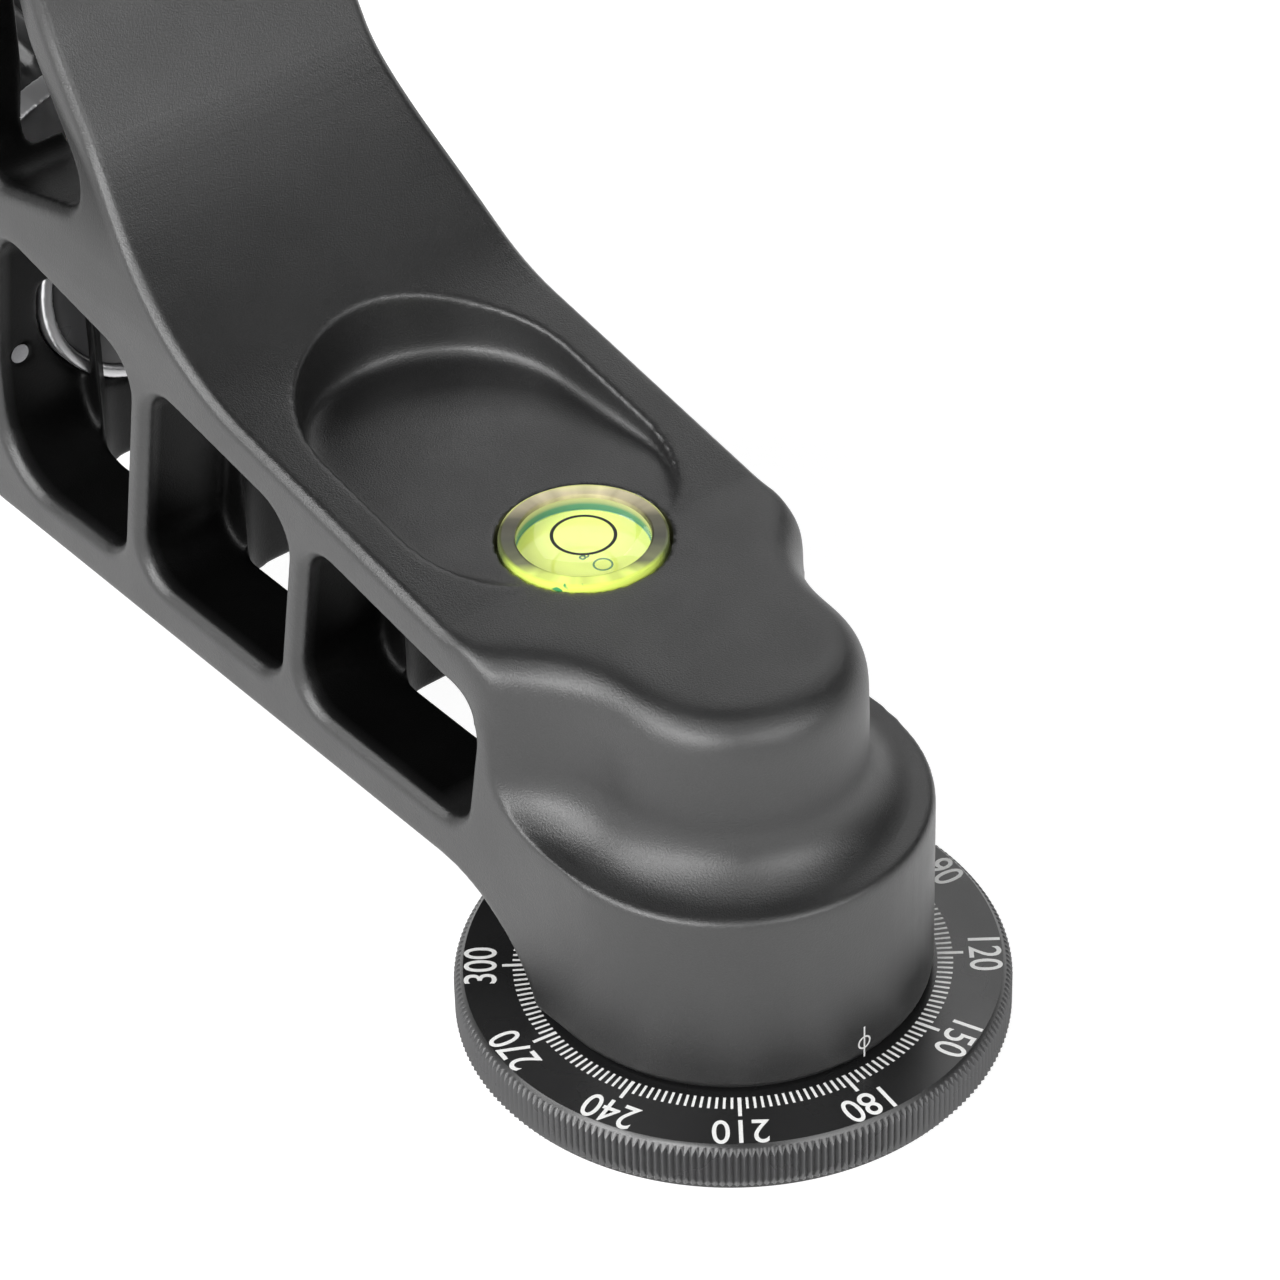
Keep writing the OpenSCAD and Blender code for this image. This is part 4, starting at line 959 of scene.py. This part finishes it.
def level(materials):
    """The level's clear rim, the lit dish under its cover, its ring and its bubbles."""
    low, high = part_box("level_cup")
    middle = ((low[0] + high[0]) / 2 / MM, (low[1] + high[1]) / 2 / MM)
    outer = (high[0] - low[0]) / 2 / MM
    inner = (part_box("level_fluid")[1][0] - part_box("level_fluid")[0][0]) / 2 / MM
    floor_z = low[2] / MM
    top = high[2] / MM + LEVEL_PROUD
    dish = top - DISH_DEPTH
    wall = inner - DISH_WALL
    lip = inner - RIM_LIP
    edge = outer - LEVEL_GAP
    cup = ring_profile("level_rim", middle, [
        (inner + 0.03, floor_z), (outer - 0.3, floor_z), (outer, floor_z + 0.3), (outer, top - 3),
        (edge, top - 2.8), (edge, top - 0.35), (edge - 0.1, top - 0.13), (edge - 0.35, top), (edge - 0.5, top),
        (lip + 0.4, top), (lip + 0.25, top), (lip + 0.06, top - 0.08), (lip, top - 0.3), (lip, top - 0.55),
        (inner + 0.03, top - 0.6)], materials["clear"])
    stand_in(cup, "level_cup", "arm")
    cover = disc_profile("level_cover", middle, [
        (0, top - 0.55), (lip - 0.03, top - 0.55), (lip - 0.03, top - 0.35), (lip - 0.3, top - 0.22),
        (lip * 0.5, top - 0.12), (0, top - 0.1)], materials["cover"])
    stand_in(cover, "level_lens", "arm")
    fluid = disc_profile("level_liquid", middle, [
        (0, floor_z + 1), (inner - 0.1, floor_z + 1), (inner, floor_z + 1.1), (inner, top - 0.75),
        (inner - 0.1, top - 0.65), (wall, top - 0.65), (wall, dish + 0.15), (wall - 0.15, dish), (0, dish)],
        materials["fluid"])
    stand_in(fluid, "level_fluid", "arm")
    for name, place, radius, tube, squash, material, slot in (
            ("level_ring", (0, 0, top - 0.09), LEVEL_RING_RADIUS, LEVEL_RING_TUBE, 0.25, "ink", "seal_rubber"),
            ("level_bubble", (*BUBBLE_SHIFT, top - 0.62), BUBBLE_RADIUS, 0.12, 0.4, "teal", "level_fluid"),
            ("level_speck", (SPECK_SHIFT[0] - 0.2, SPECK_SHIFT[1], top - 0.62), 0.3, 0.12, 0.6, "teal",
             "level_fluid"),
            ("level_dot", (SPECK_SHIFT[0] + 0.3, SPECK_SHIFT[1], top - 0.62), 0.26, 0.1, 0.6, "teal",
             "level_fluid")):
        made = torus_at(name, (middle[0] + place[0], middle[1] + place[1], place[2]), radius, tube,
                        materials[material], squash)
        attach(made, "arm")


# Stage and light

FLOOR_SIZE = 8.0
FLOOR_DROP = 0.00002
FLOOR_TONE = (0.45, 0.45, 0.45)
FLOOR_LIFT_SEEN = 0.79
FLOOR_LIFT_GLOSSY = 0.72
SKY_TONES = ((0.0, 0.9), (0.35, 0.03), (1.0, 0.03))

# Soft boxes, large ones at a distance and small ones close by, in metres. Each is (elevation, angle from the front
# towards the left, power).
BOX_SIZE = 0.36
BOX_DISTANCE = 1.0
BOX_AIM = (0, 0.02, 0.05)
SOFT_BOXES = (
    (25, 90, 3.4), (25, 60, 3.7), (25, 5, 1.0), (25, 120, 1.6), (25, -20, 1.2), (38, -40, 0.35), (45, 120, 2.7),
    (65, -20, 0.9), (65, 70, 0.9), (38, -115, 0.8), (38, -142, 0.66),
)
NEAR_SIZE = 0.24
NEAR_DISTANCE = 0.45
NEAR_BOXES = ((32, 5, 0.45), (32, 65, 0.22), (40, 95, 0.15))


def floor(material):
    """A pale floor that carries the shadow."""
    mesh = bmesh.new()
    bmesh.ops.create_grid(mesh, x_segments=1, y_segments=1, size=FLOOR_SIZE / 2)
    obj = finish_mesh("floor", mesh, material)
    obj.location = (0, 0, -FLOOR_DROP)


def floor_material():
    """White where it is lit, to the eye and in reflections, and darker in the object's shadow."""
    material, shader = new_material("floor")
    shader.inputs["Base Color"].default_value = (*FLOOR_TONE, 1)
    shader.inputs["Roughness"].default_value = 0.9
    shader.inputs["Specular IOR Level"].default_value = 0.0
    shader.inputs["Emission Color"].default_value = (1, 1, 1, 1)
    path = node(material, "ShaderNodeLightPath")
    links = material.node_tree.links
    lifts = []
    for name, lift in (("Is Camera Ray", FLOOR_LIFT_SEEN), ("Is Transmission Ray", FLOOR_LIFT_SEEN),
                       ("Is Glossy Ray", FLOOR_LIFT_GLOSSY)):
        scaled = node(material, "ShaderNodeMath", operation="MULTIPLY")
        scaled.inputs[1].default_value = lift
        links.new(path.outputs[name], scaled.inputs[0])
        lifts.append(scaled.outputs[0])
    total = lifts[0]
    for lift in lifts[1:]:
        larger = node(material, "ShaderNodeMath", operation="MAXIMUM")
        links.new(total, larger.inputs[0])
        links.new(lift, larger.inputs[1])
        total = larger.outputs[0]
    links.new(total, shader.inputs["Emission Strength"])
    return material


def soft_box(elevation, azimuth, power, size, distance):
    """A square soft box, in metres, turned towards the object."""
    data = bpy.data.lights.new("soft_box", "AREA")
    data.shape = "SQUARE"
    data.size = size
    data.energy = power
    obj = bpy.data.objects.new("soft_box", data)
    high, turn = math.radians(elevation), math.radians(azimuth)
    way = Vector((-math.sin(turn) * math.cos(high), -math.cos(turn) * math.cos(high), math.sin(high)))
    obj.location = Vector(BOX_AIM) + way * distance
    obj.rotation_euler = (-way).to_track_quat("-Z", "Y").to_euler()
    bpy.context.scene.collection.objects.link(obj)


def world():
    """A surround that is pale near the floor and dark overhead."""
    made = bpy.data.worlds.new("surround")
    made.use_nodes = True
    tree = made.node_tree
    background = tree.nodes["Background"]
    place = tree.nodes.new("ShaderNodeTexCoord")
    split = tree.nodes.new("ShaderNodeSeparateXYZ")
    ramp = tree.nodes.new("ShaderNodeValToRGB")
    tree.links.new(place.outputs["Generated"], split.inputs["Vector"])
    tree.links.new(split.outputs["Z"], ramp.inputs["Fac"])
    stops = ramp.color_ramp.elements
    while len(stops) < len(SKY_TONES):
        stops.new(0.5)
    for stop, (height, tone) in zip(stops, SKY_TONES):
        stop.position = height
        stop.color = (tone, tone, tone, 1)
    tree.links.new(ramp.outputs["Color"], background.inputs["Color"])
    bpy.context.scene.world = made


bpy.context.scene.view_settings.view_transform = "Standard"
camera()
world()
floor(floor_material())

black = anodised("anodised_black", *ARM_TONES, 0.38, 1.0, 0.00005)
dial = dial_material()
knob_black = anodised("knob_black", (0.012, 0.012, 0.0123), (0.022, 0.022, 0.0225), 0.36, 0.7, 0.00001)
silver = turned_metal("satin_silver", (0.78, 0.78, 0.79), (0.88, 0.88, 0.89), 0.42)
hub_satin = turned_metal("hub_satin", (0.40, 0.40, 0.41), (0.48, 0.48, 0.49), 0.34)
steel = turned_metal("steel", (0.50, 0.50, 0.52), (0.62, 0.62, 0.64), 0.28)
balls = turned_metal("ball_steel", (0.76, 0.76, 0.78), (0.84, 0.84, 0.86), 0.10)
brass = turned_metal("brass", (0.62, 0.44, 0.18), (0.76, 0.58, 0.28), 0.30)
rubber = rubber_material()
white = print_material()
level_materials = {
    "clear": rim_material(),
    "cover": cover_material(),
    "fluid": fluid_material(),
    "ink": rubber,
    "teal": anodised("teal_edge", (0.10, 0.24, 0.12), (0.15, 0.32, 0.15), 0.25, 0.5, 0.000001),
}
by_slot = {"anodised_black": black, "dial_black": dial, "knob_black": knob_black, "satin_silver": silver,
           "steel": steel, "ball_steel": balls, "brass": brass, "seal_rubber": rubber,
           "level_clear": level_materials["clear"], "level_fluid": level_materials["fluid"]}
slot_of = {part["node"]: part["material_slot"] for part in frame["record"]["subparts"]}
for name, obj in frame["nodes"].items():
    if not obj.material_slots:
        obj.data.materials.append(None)
    for place in obj.material_slots:
        place.material = by_slot[slot_of[name]]

pan_base(dial)
dial_marks(white)
index_mark(white)
level(level_materials)
main_arm(arm_material())

# Node, voxel, smoothing passes, share of faces kept, body, slot
for name, voxel, passes, keep, body, slot in (
        ("swing_arm", 0.35, 5, 0.15, "cradle", "anodised_black"),
        ("platform", 0.35, 6, 0.15, "carriage", "anodised_black"),
        ("clamp_base", 0.32, 4, 0.2, "carriage", "anodised_black"),
        ("clamp_jaw", 0.32, 4, 0.2, "jaw", "anodised_black"),
        ("elbow_bush", 0.3, 3, 0.25, "arm", "satin_silver")):
    rounded_node(name, voxel, passes, keep, by_slot[slot], body)

# Piece, node, joint, outward way, flutes, their depth, bore radius, seat radius, body
for name, node_name, joint, outward, flutes, depth, bore, seat, body in (
        ("pan_grip", "pan_lock_knob", "pan_lock_turn", -1, 18, 1.1, 3.05, 10.1, "pan_lock"),
        ("tilt_grip", "tilt_lock_knob", "tilt_lock_turn", -1, 24, 1.3, 12.05, 12.6, "tilt_lock"),
        ("height_grip", "height_lock_knob", "height_lock_turn", -1, 16, 1.0, 3.05, 6.0, "height_lock"),
        ("clamp_grip", "clamp_knob", "clamp_knob_turn", 1, 16, 1.0, 3.05, 5.5, "clamp_lock")):
    knob(name, node_name, joint, outward, flutes, depth, bore, seat, knob_black, body)
coin("pan_grip_cap", "pan_knob_cap", "pan_lock_turn", -1, silver, "pan_lock")
coin("hub_cover", "hub_cap", "tilt", -1, hub_satin, "cradle")

for box in SOFT_BOXES:
    soft_box(*box, BOX_SIZE, BOX_DISTANCE)
for box in NEAR_BOXES:
    soft_box(*box, NEAR_SIZE, NEAR_DISTANCE)
